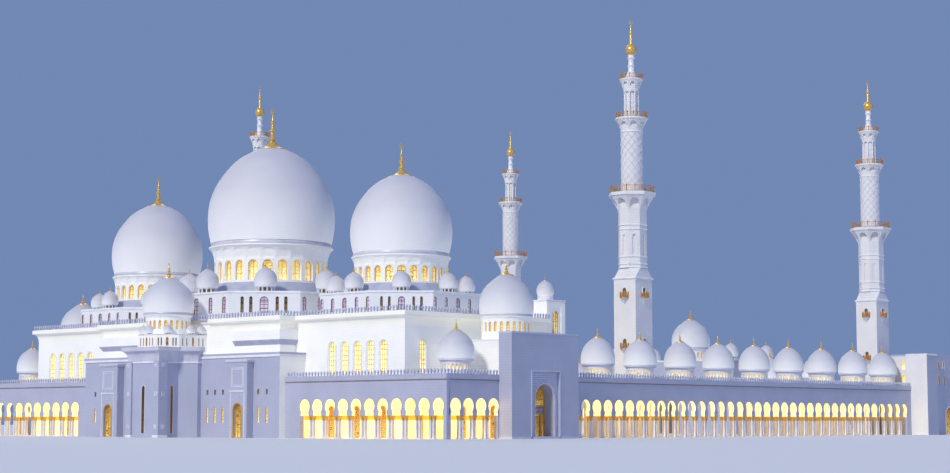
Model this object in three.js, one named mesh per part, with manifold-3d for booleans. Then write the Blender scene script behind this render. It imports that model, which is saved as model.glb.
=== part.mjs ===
// A great domed mosque with a colonnaded courtyard, as a 1:10 scale model.
// Every size below is the real building's, in metres. The last step turns them into
// millimetres of the model. +X points from the niche wall to the courtyard gate, +Y is
// the building's left side seen from the niche wall, and +Z is up.
import * as THREE from 'three';
import { mergeVertices } from 'three/addons/utils/BufferGeometryUtils.js';
import Module from 'manifold-3d';

const wasm = await Module();
wasm.setup();

const modelScale = 10;
const modelMillimetres = 1000 / modelScale;
const seam = 0.003;                 // joint left where a curved foot meets a cut face

// Plan lines, measured from the point under the main dome
const westCornice = -41.5;
const eastEnd = 199.5;
const planMiddle = (westCornice + eastEnd) / 2;

const hall = {
  west: -22, east: 34, side: 70, wall: 1.2, wallTop: 27.4, roofTop: 28.4, eaves: 1.2, nicheEaves: 0.4,
};
const centreWall = { west: -27, side: 34, foot: 19.8 };
const westFront = { west: -30, side: 37.4, wall: 1.2, wallTop: 18.8, roofTop: 19.8 };
const doorBlock = { reach: 2, from: 21.2, to: 28.3, top: 18.3, doorHalf: 1.5, doorTop: 8.0, doorY: 25.0 };
const slit = {
  half: 0.35, sill: 3.4, top: 7.3, ys: [11.6, 14.4, 17.3, 30.0, 33.0], upSill: 10.1, upTop: 11.3,
};
const tallWindow = { width: 2.1, sill: 14.5, top: 22.0, ys: [46.5, 50.7, 54.9, 59.1, 63.3], sideX: 16.3 };
const hallDoors = { half: 2.5, top: 8, middleHalf: 4, middleTop: 12, ys: [-47, -31, -15, 0, 15, 31, 47] };
const southHallDoor = { half: 3, top: 9 };

// The prayer niche: a square block that widens by a slanting wall on either side
const niche = {
  west: -40.2, half: 5.9, slantFrom: -34.4, slantTo: -31.1, side: 9.2, wall: 1.0, wallTop: 18.1, inner: 5.2,
};
const nicheSlit = { half: 0.6, sideHalf: 0.4, sideX: -36.3, sill: 1.0, top: 12.5 };
const nichePier = { reach: 0.4, from: 4.2, to: 6.3, east: -37.9 };
const nicheCornice = { reach: 1.3, bend: 20.7, top: 21.6 };
const nicheStorey = { west: -39.5, half: 3.4, side: 7.4, top: 24.7, east: -27 };
const nicheDome = {
  shape: 'middle', x: -33, y: 0, width: 12.5, drum: 10.9, foot: 24.7, ring: 30.0, widest: 32.0, brim: 38.6,
  tip: 42.4,
};

// The three great domes. The terrace is a long octagon with cut corners
const mainDome = {
  shape: 'great', x: 0, y: 0, width: 32.6, drum: 28.9, foot: 38.5, ring: 48.1, widest: 55.3, brim: 74.2,
  tip: 84.8, brimWidth: 7.7, windowSill: 39.1, windowTop: 44.2, windowWidth: 2.1,
  terraceHalf: 24.4, terraceFace: 12.0, smallRing: 20.9, smallWidth: 5.5,
};
const sideDome = {
  shape: 'great', x: 0, y: 47, width: 24.6, drum: 22.5, foot: 36.2, ring: 43.0, widest: 48.9, brim: 62.7,
  tip: 70.8, brimWidth: 5.9, windowSill: 36.6, windowTop: 40.4, windowWidth: 1.6,
  terraceHalf: 18.7, terraceFace: 8.4, smallRing: 15.6, smallWidth: 4.4,
};
const terraceTop = 35.6;
const sideTerraceTop = 33.9;
const drumWall = 1.2;
const domeShell = 0.8;

// Portals, arcades and their domes
const portal = {
  half: 11.5, front: 92.4, back: 88.6, top: 23.5, hallHalf: 9.5, hallTop: 22.0, wall: 1.0,
  panelHalf: 4.75, panelTop: 14.8, panelDepth: 0.6, archHalf: 3.25, archTop: 12.1,
};
const portalDome = {
  x: 0, y: 80.7, shape: 'middle', width: 12.5, drum: 11.3, foot: 22.0, ring: 27.9, widest: 29.9, brim: 37.0,
  tip: 40.2,
};
const sidePassage = { half: 2, top: 7 };   // from the portal room into the arcades
const arcade = { side: 88.6, inner: 75.65, wall: 1.0, wallTop: 12.9, roofTop: 13.9, eaves: 0.2, west: -28.2 };
const arch = {
  waist: 1.25, waistTop: 5.1, belly: 1.7, bellyTop: 6.9, shoulder: 1.1, shoulderTop: 8.5, top: 9.1,
};
const courtArch = { half: 1.5, spring: 6.9, top: 9.0 };
const bay = 16.65;                  // four arches and one dome
const westArches = { first: -86.2, step: 4.21, count: 11 };
const southwestArches = { first: -25.45, step: 4.05, count: 4 };
const eastArches = { first: -74.4, count: 12 };
const courtGate = { half: 4, top: 10.5 };
const gateDome = { width: 12.6, drum: 11.3, wellRadius: 4.6 };
const firstDomeX = 33.2 - bay;
const domesInRow = 10;
const rowDome = { width: 8.3, drum: 7.0, foot: 13.9, ring: 17.6, widest: 18.3, brim: 23.8, tip: 26.3 };
const eastRow = { x: 183.2, ys: [30.7, 47.35, 64.0], inner: 179.25, outer: 192, portalFront: 195.8 };

// The block of the courtyard gate, with a small dome on each corner
const gate = {
  west: 170.7, side: 25.2, top: 23.5, wall: 1.0, roof: 1.5, cornerXs: [173.2, 193.2], cornerY: 22.7,
  corner: { width: 4.7, drum: 4.0, foot: 23.4, ring: 24.6, widest: 25.8, brim: 28.4, tip: 29.7 },
};
const pavilion = {
  west: 168.5, innerWest: 171.5, pier: 6.2, front: 94, recess: 92.5, shoulder: 87.2, back: 77, top: 23.4,
  wall: 1.2, doorX: 184, doorHalf: 2.5, doorTop: 8,
  windowHalf: 0.5, windowXs: [178, 181, 187, 190], windowRows: [[14.5, 17.5], [19, 21.5]],
};
const tower = {
  west: 27, side: 6.9, top: 33.2, wall: 0.8, dome: 4.3, widest: 35.6, brim: 38.0, tip: 39.8,
  nicheHalf: 1.1, nicheSill: 24.5, nicheTop: 30.5,
};
const minaret = {
  xs: [58.3, 175.8], y: 72.2, side: 6.9, squareTop: 40.0, chamferTop: 42.4, octagonTop: 56.9,
  balcony1: 62.1, balcony1Width: 11.9, shaftWidth: 5.6, shaftTop: 78.0, balcony2: 81.5, balcony2Width: 8.5,
  lanternWidth: 4.1, lanternTop: 88.8, balcony3: 91.7, balcony3Width: 6.1, neckWidth: 1.4, neckTop: 97.6,
  ballWidth: 2.8, ballMiddle: 99.0, tip: 107,
};

// Doorway and its two leaves in the gilded screen of the right-hand portal
const door = {
  half: 1.8, top: 5.2, leafThickness: 0.12, clearance: 0.07, screenThickness: 0.5, screenY: -88.8,
  pivotInset: 0.03, pinRadius: 0.025,
};

const group = new THREE.Group();
const marble = { color: 0xf1f0f4, roughness: 0.35, metalness: 0 };
const domeMarble = { color: 0xe6e6ee, roughness: 0.4, metalness: 0 };
const gold = { color: 0xd9a13b, roughness: 0.25, metalness: 1 };
const gildedLattice = { color: 0xcaa04a, roughness: 0.35, metalness: 0.9 };

function solidOf(geometry) {
  const bare = geometry.clone();
  bare.deleteAttribute('normal');
  bare.deleteAttribute('uv');
  const merged = mergeVertices(bare, 1e-4);
  const mesh = new wasm.Mesh({
    numProp: 3,
    vertProperties: merged.attributes.position.array,
    triVerts: Uint32Array.from(merged.index.array),
  });
  return new wasm.Manifold(mesh);
}

function geometryOf(solid) {
  const mesh = solid.getMesh();
  const geometry = new THREE.BufferGeometry();
  geometry.setAttribute('position', new THREE.BufferAttribute(mesh.vertProperties, 3));
  geometry.setIndex(new THREE.BufferAttribute(mesh.triVerts, 1));
  return geometry;
}

const join = (first, ...others) => others.reduce((sum, other) => sum.add(other), first);
const cut = (first, ...others) => others.reduce((rest, other) => rest.subtract(other), first);

function piece(name, solid, finish) {
  const geometry = geometryOf(solid);
  geometry.translate(-planMiddle, 0, 0);
  geometry.scale(modelMillimetres, modelMillimetres, modelMillimetres);
  geometry.computeVertexNormals();
  const mesh = new THREE.Mesh(geometry, new THREE.MeshStandardMaterial(finish));
  mesh.name = name;
  group.add(mesh);
}

// The same solid on the other side of the long axis
function mirrored(solid) {
  const geometry = geometryOf(solid);
  geometry.scale(1, -1, 1);
  const index = geometry.index.array;
  for (let i = 0; i < index.length; i += 3) {
    [index[i + 1], index[i + 2]] = [index[i + 2], index[i + 1]];
  }
  return solidOf(geometry);
}

function block(x0, x1, y0, y1, z0, z1) {
  const box = new THREE.BoxGeometry(x1 - x0, y1 - y0, z1 - z0);
  box.translate((x0 + x1) / 2, (y0 + y1) / 2, (z0 + z1) / 2);
  return solidOf(box);
}

function extrusion(outline, depth) {
  const shape = new THREE.Shape(outline.map(([x, y]) => new THREE.Vector2(x, y)));
  return new THREE.ExtrudeGeometry(shape, { depth, bevelEnabled: false });
}

function slab(outline, z0, z1) {
  const geometry = extrusion(outline, z1 - z0);
  geometry.translate(0, 0, z0);
  return solidOf(geometry);
}

// Upright plate whose outline is drawn along X and up Z, from y0 to y1
function plateAlongX(outline, y0, y1) {
  const geometry = extrusion(outline, y1 - y0);
  geometry.rotateX(Math.PI / 2);
  geometry.translate(0, y1, 0);
  return solidOf(geometry);
}

// Upright plate whose outline is drawn along Y and up Z, from x0 to x1
function plateAlongY(outline, x0, x1) {
  const geometry = extrusion(outline, x1 - x0);
  geometry.rotateX(Math.PI / 2);
  geometry.rotateZ(Math.PI / 2);
  geometry.translate(x0, 0, 0);
  return solidOf(geometry);
}

// Solid of revolution round an upright axis, turned about it by the given angle
function turned(profile, segments, x, y, turn = 0) {
  const geometry = new THREE.LatheGeometry(profile.map(([r, z]) => new THREE.Vector2(r, z)), segments);
  geometry.rotateX(Math.PI / 2);
  geometry.rotateZ(turn);
  geometry.translate(x, y, 0);
  return solidOf(geometry);
}

// Wall outline with openings that reach the ground, left to right
function arcadeOutline(start, end, top, centres, opening) {
  const outline = [[start, 0]];
  for (const centre of centres) {
    for (const [u, z] of opening) outline.push([centre + u, z]);
  }
  outline.push([end, 0], [end, top], [start, top]);
  return outline;
}

const horseshoe = [
  [-arch.waist, 0], [-arch.waist, arch.waistTop], [-arch.belly, arch.bellyTop],
  [-arch.shoulder, arch.shoulderTop], [0, arch.top], [arch.shoulder, arch.shoulderTop],
  [arch.belly, arch.bellyTop], [arch.waist, arch.waistTop], [arch.waist, 0],
];
const pointedArch = [
  [-courtArch.half, 0], [-courtArch.half, courtArch.spring], [0, courtArch.top],
  [courtArch.half, courtArch.spring], [courtArch.half, 0],
];

const series = (first, step, count) => Array.from({ length: count }, (_, i) => first + i * step);

function archedOpening(centre, half, foot, top, steps = 6) {
  const spring = top - half;
  const points = [[centre - half, foot]];
  for (let i = 0; i <= steps; i += 1) {
    const angle = Math.PI * (1 - i / steps);
    points.push([centre + half * Math.cos(angle), spring + half * Math.sin(angle)]);
  }
  points.push([centre + half, foot]);
  return points;
}

// A dome's half-width as a share of its widest, at tenths of the way up to its brim
const taper = {
  great: [1, 0.996, 0.984, 0.957, 0.915, 0.86, 0.787, 0.7, 0.605, 0.475, 0.236],
  middle: [1, 0.996, 0.983, 0.959, 0.922, 0.866, 0.792, 0.69, 0.56, 0.41, 0.25],
  small: [1, 0.998, 0.99, 0.968, 0.935, 0.887, 0.82, 0.725, 0.6, 0.445, 0.25],
};

function taperAt(dome, share) {
  const tenths = taper[dome.shape ?? 'small'];
  const i = Math.min(9, Math.floor(share * 10));
  return tenths[i] + (tenths[i + 1] - tenths[i]) * (share * 10 - i);
}

// Outline of a dome from its ring up to the brim: round below its widest, tapered above
function domeCurve(dome, steps, inset = 0) {
  const radius = dome.width / 2;
  const brimRadius = (dome.brimWidth ?? dome.width * 0.24) / 2;
  const rise = (dome.brim - dome.widest) / Math.sqrt(1 - (brimRadius / radius) ** 2);
  const low = -Math.asin((dome.widest - dome.ring) / rise);
  const high = Math.acos(brimRadius / radius);
  return series(0, 1, steps + 1).map((i) => {
    const angle = low + ((high - low) * i) / steps;
    const share = Math.sin(angle) / Math.sin(high);
    const width = share < 0 ? Math.cos(angle) : taperAt(dome, share);
    return [(radius - inset) * width, dome.widest + (rise - inset) * Math.sin(angle)];
  });
}

function finialProfile(dome) {
  const brimRadius = (dome.brimWidth ?? dome.width * 0.24) / 2;
  const rise = dome.tip - dome.brim;
  return [
    [0, dome.brim], [brimRadius, dome.brim], [brimRadius * 0.55, dome.brim + rise * 0.1],
    [brimRadius * 0.2, dome.brim + rise * 0.3], [brimRadius * 0.3, dome.brim + rise * 0.42],
    [brimRadius * 0.12, dome.brim + rise * 0.56], [brimRadius * 0.18, dome.brim + rise * 0.66],
    [brimRadius * 0.06, dome.brim + rise * 0.8], [0, dome.tip],
  ];
}

// Solid dome on its little drum, with the finial, for the rows and the corners
function smallDome(dome, x, y, segments = 10, steps = 3) {
  const drumRadius = dome.drum / 2;
  const curve = domeCurve(dome, steps);
  const rise = dome.tip - dome.brim;
  const profile = [
    [0, dome.foot], [drumRadius, dome.foot], ...curve,
    [dome.width * 0.03, dome.brim + rise * 0.3], [0, dome.tip],
  ];
  return turned(profile, segments, x, y, Math.PI / segments);
}

function greatDomeShell(dome, segments, steps) {
  const outer = domeCurve(dome, steps);
  const inner = domeCurve(dome, steps - 3, domeShell).reverse();
  const crown = dome.brim - domeShell;
  const inside = inner.filter(([, z]) => z < crown && z > dome.ring);
  const footRadius = outer[0][0];
  const profile = [
    [0, crown], ...inside, [footRadius - 1.3, dome.ring], ...outer, [0, dome.brim],
  ];
  return turned(profile, segments, dome.x, dome.y, Math.PI / segments);
}

// Square terrace with its corners cut off at 45 degrees
function terraceOutline(dome, inset) {
  const half = dome.terraceHalf - inset;
  const face = dome.terraceFace - inset * Math.tan(Math.PI / 8);
  const corners = [[half, -face], [half, face], [face, half], [-face, half],
    [-half, face], [-half, -face], [-face, -half], [face, -half]];
  return corners.map(([x, y]) => [dome.x + x, dome.y + y]);
}

function drumWindows(dome, count) {
  const reach = dome.drum / 2 + 1;
  const depth = drumWall + 2;
  const outline = archedOpening(0, dome.windowWidth / 2, dome.windowSill, dome.windowTop, 2);
  return series(0, (2 * Math.PI) / count, count).map((angle) => {
    const geometry = extrusion(outline, depth);
    geometry.rotateX(Math.PI / 2);
    geometry.rotateZ(Math.PI / 2);
    geometry.translate(reach - depth, 0, 0);
    geometry.rotateZ(angle);
    geometry.translate(dome.x, dome.y, 0);
    return solidOf(geometry);
  });
}

function eightRound(dome) {
  return series(0, Math.PI / 4, 8).map((angle) => [
    dome.x + dome.smallRing * Math.cos(angle), dome.y + dome.smallRing * Math.sin(angle)]);
}

function terraceAndDrum(dome, top) {
  const segments = 24;
  const turn = Math.PI / segments;
  const radius = dome.drum / 2;
  const lip = dome.width / 2 - 0.4;
  const foot = hall.roofTop;
  const cavity = slab(terraceOutline(dome, 1), foot - 1, top - 0.8);
  const walls = cut(slab(terraceOutline(dome, 0), foot, top), cavity);
  const drum = turned([
    [0, top - 0.8], [radius + 2.6, top - 0.8], [radius + 2.6, top], [radius, dome.foot],
    [radius, dome.ring - 3.2], [lip, dome.ring - 0.4], [lip, dome.ring], [0, dome.ring],
  ], segments, dome.x, dome.y, turn);
  const inside = turned([
    [0, foot - 1], [radius - drumWall, foot - 1], [radius - drumWall, dome.ring + 1], [0, dome.ring + 1],
  ], segments, dome.x, dome.y, turn);
  const small = {
    width: dome.smallWidth, drum: dome.smallWidth * 0.86, foot: top - 0.1,
    ring: top + dome.smallWidth * 0.22, widest: top + dome.smallWidth * 0.56,
    brim: top + dome.smallWidth * 1.06, tip: top + dome.smallWidth * 1.34,
  };
  const domes = eightRound(dome).map(([x, y]) => smallDome(small, x, y, 8, 2));
  const windows = [...terraceWindows(dome, top), ...drumWindows(dome, segments)];
  return cut(join(walls, drum, ...domes), inside, ...windows);
}

// One wide window in the middle of each straight terrace face
function terraceWindows(dome, top) {
  const reach = dome.terraceHalf;
  const openingY = archedOpening(dome.y, dome.windowWidth / 2, top - 5, top - 1.5, 4);
  const openingX = archedOpening(dome.x, dome.windowWidth / 2, top - 5, top - 1.5, 4);
  return [
    plateAlongY(openingY, dome.x - reach - 1, dome.x - reach + 2),
    plateAlongY(openingY, dome.x + reach - 2, dome.x + reach + 1),
    plateAlongX(openingX, dome.y - reach - 1, dome.y - reach + 2),
    plateAlongX(openingX, dome.y + reach - 2, dome.y + reach + 1),
  ];
}

function greatDome(name, dome, top) {
  piece(`${name}_terrace`, terraceAndDrum(dome, top), marble);
  piece(`${name}_dome`, greatDomeShell(dome, 20, 7), domeMarble);
  const finial = turned(finialProfile(dome), 10, dome.x, dome.y);
  piece(`${name}_finial`, finial, gold);
}

function hallWestWall() {
  const { west, side, wall, wallTop } = hall;
  const wing = plateAlongY([[-side, 0], [-centreWall.side, 0], [-centreWall.side, wallTop], [-side, wallTop]],
    west, west + wall);
  const windows = tallWindow.ys.map((y) => plateAlongY(
    archedOpening(-y, tallWindow.width / 2, tallWindow.sill, tallWindow.top), west - 1, west + wall + 1));
  const southWing = cut(wing, ...windows);
  const front = centreWall;
  const centre = block(front.west, front.west + wall, -front.side, front.side, front.foot, wallTop);
  const southReturn = block(front.west, west + wall, -front.side, -front.side + wall, front.foot, wallTop);
  return join(southWing, mirrored(southWing), centre, southReturn, mirrored(southReturn));
}

function hallSouthWall() {
  const { west, side, wall, wallTop } = hall;
  const start = west + wall;
  const outline = arcadeOutline(start, tower.west, wallTop, [0],
    archedOpening(0, southHallDoor.half, 0, southHallDoor.top));
  const plain = plateAlongX(outline, -side, -side + wall);
  const windows = [-tallWindow.sideX, tallWindow.sideX].map((x) => plateAlongX(
    archedOpening(x, tallWindow.width / 2, tallWindow.sill, tallWindow.top), -side - 1, -side + wall + 1));
  return cut(plain, ...windows);
}

function hallEastWall() {
  const { east, side, wall, wallTop } = hall;
  const end = side - tower.side;
  const small = archedOpening(0, hallDoors.half, 0, hallDoors.top, 4);
  const wide = archedOpening(0, hallDoors.middleHalf, 0, hallDoors.middleTop, 6);
  const outline = [[-end, 0]];
  for (const y of hallDoors.ys) {
    for (const [u, z] of (y === 0 ? wide : small)) outline.push([y + u, z]);
  }
  outline.push([end, 0], [end, wallTop], [-end, wallTop]);
  return plateAlongY(outline, east - wall, east);
}

function hallRoof() {
  const { west, east, side, wallTop, roofTop, eaves, nicheEaves } = hall;
  const front = centreWall;
  const notchX = tower.west - 0.1;
  const notchY = side - tower.side - 0.1;
  const half = [
    [front.west - nicheEaves, 0], [front.west - nicheEaves, -niche.side],
    [front.west - eaves, -niche.side], [front.west - eaves, -front.side - eaves],
    [west - eaves, -front.side - eaves], [west - eaves, -side - eaves], [notchX, -side - eaves],
    [notchX, -notchY], [east + eaves, -notchY], [east + eaves, 0],
  ];
  const otherHalf = half.slice(1, -1).reverse().map(([x, y]) => [x, -y]);
  const roof = slab([...half, ...otherHalf], wallTop, roofTop);
  const holes = [[0, mainDome.drum], [-sideDome.y, sideDome.drum], [sideDome.y, sideDome.drum]].map(
    ([y, drum]) => turned([[0, wallTop - 1], [drum / 2 - drumWall, wallTop - 1],
      [drum / 2 - drumWall, roofTop + 1], [0, roofTop + 1]], 12, 0, y, Math.PI / 12));
  return cut(roof, ...holes);
}

function westFrontWall() {
  const { west, side, wall, wallTop } = westFront;
  const front = block(west, west + wall, -side, -niche.side, 0, wallTop);
  const back = block(west, hall.west, -side, -side + wall, 0, wallTop);
  const porch = block(west - doorBlock.reach, west + 0.1, -doorBlock.to, -doorBlock.from, 0, doorBlock.top);
  const openings = slit.ys.map((y) => plateAlongY(
    archedOpening(-y, slit.half, slit.sill, slit.top, 2), west - 1, west + wall + 1));
  openings.push(...slit.ys.map((y) => block(west - 1, west + wall + 1, -y - slit.half, -y + slit.half,
    slit.upSill, slit.upTop)));
  openings.push(plateAlongY(archedOpening(-doorBlock.doorY, doorBlock.doorHalf, -1, doorBlock.doorTop),
    west - doorBlock.reach - 1, west + wall + 1));
  return cut(join(front, back, porch), ...openings);
}

function westFrontRoof() {
  const { west, side, wallTop, roofTop } = westFront;
  return block(west - 0.2, hall.west, -side - 0.2, side + 0.2, wallTop, roofTop);
}

// Plan of the niche, open to the hall, at a distance outside its wall
function nicheOutline(offset, east) {
  const side = niche.side + offset;
  const half = niche.half + offset;
  const bend = offset * Math.tan(Math.PI / 8);
  const south = [
    [niche.west - offset, -half], [niche.slantFrom - bend, -half], [niche.slantTo - bend, -side],
    [east, -side],
  ];
  const north = south.map(([x, y]) => [x, -y]).reverse();
  return [...south, ...north];
}

function nicheWall() {
  const { wall, wallTop, west, half } = niche;
  const east = westFront.west + westFront.wall;
  const cavity = slab(nicheOutline(-wall, east + 1), -1, wallTop + 1);
  const shell = cut(slab(nicheOutline(0, east), 0, wallTop), cavity);
  const { sideHalf, sideX, sill, top } = nicheSlit;
  const middle = plateAlongY(archedOpening(0, nicheSlit.half, sill, top, 2), west - 1, west + wall + 1);
  const side = plateAlongX(archedOpening(sideX, sideHalf, sill, top, 2), -half - 1, -half + wall + 1);
  const { reach, from, to } = nichePier;
  const pier = block(west - reach, nichePier.east, -to, -from, 0, wallTop);
  const solid = join(cut(shell, side, mirrored(side)), pier, mirrored(pier));
  return cut(solid, middle, slab(nicheOutline(-wall, east + 1), -1, wallTop + 1));
}

function nicheUpperStorey() {
  const east = westFront.west - 0.2;
  const { wallTop } = niche;
  const { reach, bend, top } = nicheCornice;
  const steps = 3;
  const rise = (bend - wallTop) / steps;
  const flare = series(0, 1, steps).map((i) => slab(
    nicheOutline((reach * (i + 1)) / (steps + 1), east), wallTop + rise * i, wallTop + rise * (i + 1)));
  const band = slab(nicheOutline(reach, east), bend, top);
  const { west, half, side } = nicheStorey;
  const corner = west + side - half;
  const plan = [
    [west, -half], [corner, -side], [nicheStorey.east, -side], [nicheStorey.east, side], [corner, side],
    [west, half],
  ];
  const storey = slab(plan, top, nicheStorey.top);
  const saddle = block(east - 0.5, nicheStorey.east, -side, side, westFront.roofTop, nicheStorey.top);
  const well = turned([[0, wallTop - 1], [niche.inner, wallTop - 1], [niche.inner, nicheStorey.top + 1],
    [0, nicheStorey.top + 1]], 12, nicheDome.x, nicheDome.y, Math.PI / 12);
  const wellBelow = cut(well, block(east, 0, -20, 20, 0, westFront.roofTop + 0.6));
  const solid = join(join(...flare), band, storey, saddle);
  return cut(solid, wellBelow);
}

// Low dome on a drum, hollow from below
function hollowDome(dome, segments, steps) {
  const drumRadius = dome.drum / 2;
  const outer = domeCurve(dome, steps);
  const profile = [
    [0, dome.foot], [drumRadius, dome.foot], [drumRadius, dome.ring - 1.2], ...outer, [0, dome.brim],
  ];
  const hollow = [[0, dome.foot - 1], [drumRadius - 0.8, dome.foot - 1], [drumRadius - 0.8, dome.widest],
    [drumRadius * 0.5, dome.brim - 1.6], [0, dome.brim - 1.6]];
  return cut(turned(profile, segments, dome.x, dome.y, Math.PI / segments),
    turned(hollow, segments, dome.x, dome.y, Math.PI / segments));
}

function portalSolid() {
  const { half, front, back, top, hallHalf, hallTop, wall } = portal;
  const face = block(-half, half, -front, -back, 0, top);
  const room = cut(block(-hallHalf, hallHalf, -back - 0.1, -hall.side, 0, hallTop),
    block(-hallHalf + wall, hallHalf - wall, -back - 1, -hall.side + 1, -1, hallTop - wall));
  const panel = block(-portal.panelHalf, portal.panelHalf, -front - 1, -front + portal.panelDepth,
    -1, portal.panelTop);
  const entry = plateAlongX(archedOpening(0, portal.archHalf, -1, portal.archTop, 8), -front - 1, -back + 1);
  const well = turned([[0, hallTop - 3], [portalDome.drum / 2 - 0.8, hallTop - 3],
    [portalDome.drum / 2 - 0.8, hallTop + 1], [0, hallTop + 1]], 16, 0, -portalDome.y, Math.PI / 16);
  const passage = plateAlongY(archedOpening(-portalDome.y, sidePassage.half, -1, sidePassage.top),
    -hallHalf - 1, hallHalf + 1);
  return cut(join(face, room), panel, entry, well, passage);
}

function screenOutline() {
  return archedOpening(0, portal.archHalf - seam, 0, portal.archTop - seam, 8);
}

function gildedScreen() {
  const { screenY, screenThickness } = door;
  const plate = plateAlongX(screenOutline(), screenY - screenThickness, screenY);
  const doorway = block(-door.half, door.half, screenY - 2, screenY + 2, -1, door.top);
  return cut(plate, doorway);
}

function closedScreen() {
  const { screenY, screenThickness } = door;
  return mirrored(plateAlongX(screenOutline(), screenY - screenThickness, screenY));
}

// One leaf, with the pivot pins that hold it between the sill and the head of the doorway
function doorLeaf(sign) {
  const { half, top, clearance, leafThickness, screenY, pivotInset, pinRadius } = door;
  const outer = sign * (half - clearance);
  const inner = (sign * clearance) / 2;
  const leaf = block(Math.min(inner, outer), Math.max(inner, outer), screenY - leafThickness, screenY,
    clearance, top - clearance);
  const pin = turned([[0, 0], [pinRadius, 0], [pinRadius, top - seam], [0, top - seam]], 8,
    outer - sign * pivotInset, screenY - pivotInset);
  return join(leaf, pin);
}

function westArcadeWestWall() {
  const { west, wall, wallTop, side } = arcade;
  const centres = series(westArches.first, westArches.step, westArches.count);
  return plateAlongY(arcadeOutline(-side, -westFront.side, wallTop, centres, horseshoe), west, west + wall);
}

function westArcadeSideWall() {
  const { west, wall, wallTop, side } = arcade;
  const centres = series(southwestArches.first, southwestArches.step, southwestArches.count);
  const outline = arcadeOutline(west + wall, -portal.half, wallTop, centres, horseshoe);
  return plateAlongX(outline, -side, -side + wall);
}

function westArcadeRoof() {
  const { west, wallTop, roofTop, side, eaves } = arcade;
  const outline = [
    [west - eaves, -side - eaves], [-portal.half, -side - eaves], [-portal.half, -portal.back],
    [-portal.hallHalf, -portal.back], [-portal.hallHalf, -hall.side], [hall.west, -hall.side],
    [hall.west, -westFront.side - 0.2], [west - eaves, -westFront.side - 0.2],
  ];
  return join(slab(outline, wallTop, roofTop), domeOnArcade(firstDomeX - 2 * bay, -portalDome.y));
}

function domeOnArcade(x, y) {
  return smallDome({ ...rowDome, foot: arcade.roofTop - 0.1 }, x, y);
}

function archCentres() {
  return series(firstDomeX - bay / 8, bay / 4, 4 * domesInRow - 3);
}

function sideArcadeWall() {
  const { wall, wallTop, side } = arcade;
  const outline = arcadeOutline(portal.half, pavilion.west, wallTop, archCentres(), horseshoe);
  return plateAlongX(outline, -side, -side + wall);
}

function sideCourtWall() {
  const { wall, wallTop, inner } = arcade;
  const centres = archCentres().filter((x) => x > hall.east + 2);
  const outline = arcadeOutline(hall.east, pavilion.innerWest, wallTop, centres, pointedArch);
  return plateAlongX(outline, -inner - wall, -inner);
}

function sideArcadeRoof() {
  const { wallTop, roofTop, side, inner, eaves } = arcade;
  const outline = [
    [portal.half, -side - eaves], [pavilion.west, -side - eaves], [pavilion.west, -pavilion.shoulder],
    [pavilion.innerWest, -pavilion.shoulder], [pavilion.innerWest, -inner], [hall.east, -inner],
    [hall.east, -hall.side], [portal.hallHalf, -hall.side], [portal.hallHalf, -portal.back],
    [portal.half, -portal.back],
  ];
  const domes = series(firstDomeX, bay, domesInRow).map((x) => domeOnArcade(x, -portalDome.y));
  return join(slab(outline, wallTop, roofTop), ...domes);
}

function eastFront() {
  const { outer, portalFront } = eastRow;
  const { wall, wallTop } = arcade;
  const southCentres = series(eastArches.first, bay / 4, eastArches.count);
  const southWall = plateAlongY(arcadeOutline(-pavilion.back, -gate.side, wallTop, southCentres, horseshoe),
    outer - wall, outer);
  const face = block(outer - wall, portalFront, -gate.side, gate.side, 0, gate.top);
  const panel = block(portalFront - portal.panelDepth, portalFront + 1, -portal.panelHalf, portal.panelHalf,
    -1, portal.panelTop);
  const entryOutline = archedOpening(0, portal.archHalf, -1, portal.archTop, 8);
  const entry = plateAlongY(entryOutline, outer - 3, portalFront + 1);
  const dome = smallDome(gate.corner, gate.cornerXs[1], -gate.cornerY, 8, 2);
  return join(cut(join(southWall, face, mirrored(southWall)), panel, entry), dome, mirrored(dome));
}

function eastGateHall() {
  const { inner, outer } = eastRow;
  const { wall, top, side, roof, west } = gate;
  const east = outer - arcade.wall;
  const room = cut(block(west, east, -side, side, 0, top),
    block(west + wall, east + 1, -side + wall, side - wall, -1, top - roof));
  const slot = block(inner, inner + arcade.wall, -side - 1, side + 1, -1, arcade.roofTop);
  const entry = plateAlongY(archedOpening(0, courtGate.half, -1, courtGate.top), west - 1, west + wall + 1);
  const { width, drum, wellRadius } = gateDome;
  const lift = top - portal.hallTop;
  const dome = { ...portalDome, x: eastRow.x, y: 0, width, drum, foot: portalDome.foot + lift - 0.1 };
  const well = turned([[0, top - 3], [wellRadius, top - 3], [wellRadius, top + 1.5],
    [0, top + 1.5]], 16, dome.x, 0, Math.PI / 16);
  const corner = smallDome(gate.corner, gate.cornerXs[0], -gate.cornerY, 8, 2);
  return cut(join(room, hollowDome(dome, 16, 5), corner, mirrored(corner)), well, slot, entry);
}

function eastCourtWall() {
  const { inner } = eastRow;
  const { wall, wallTop } = arcade;
  const end = pavilion.back;
  const side = series(eastArches.first, bay / 4, eastArches.count);
  const centre = archedOpening(0, courtGate.half, 0, courtGate.top);
  const outline = [[-end, 0]];
  const openings = [
    ...side.map((y) => pointedArch.map(([u, z]) => [y + u, z])), centre,
    ...side.map((y) => -y).reverse().map((y) => pointedArch.map(([u, z]) => [y + u, z])),
  ];
  openings.forEach((points) => outline.push(...points));
  outline.push([end, 0], [end, wallTop], [-end, wallTop]);
  return plateAlongY(outline, inner, inner + wall);
}

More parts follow.
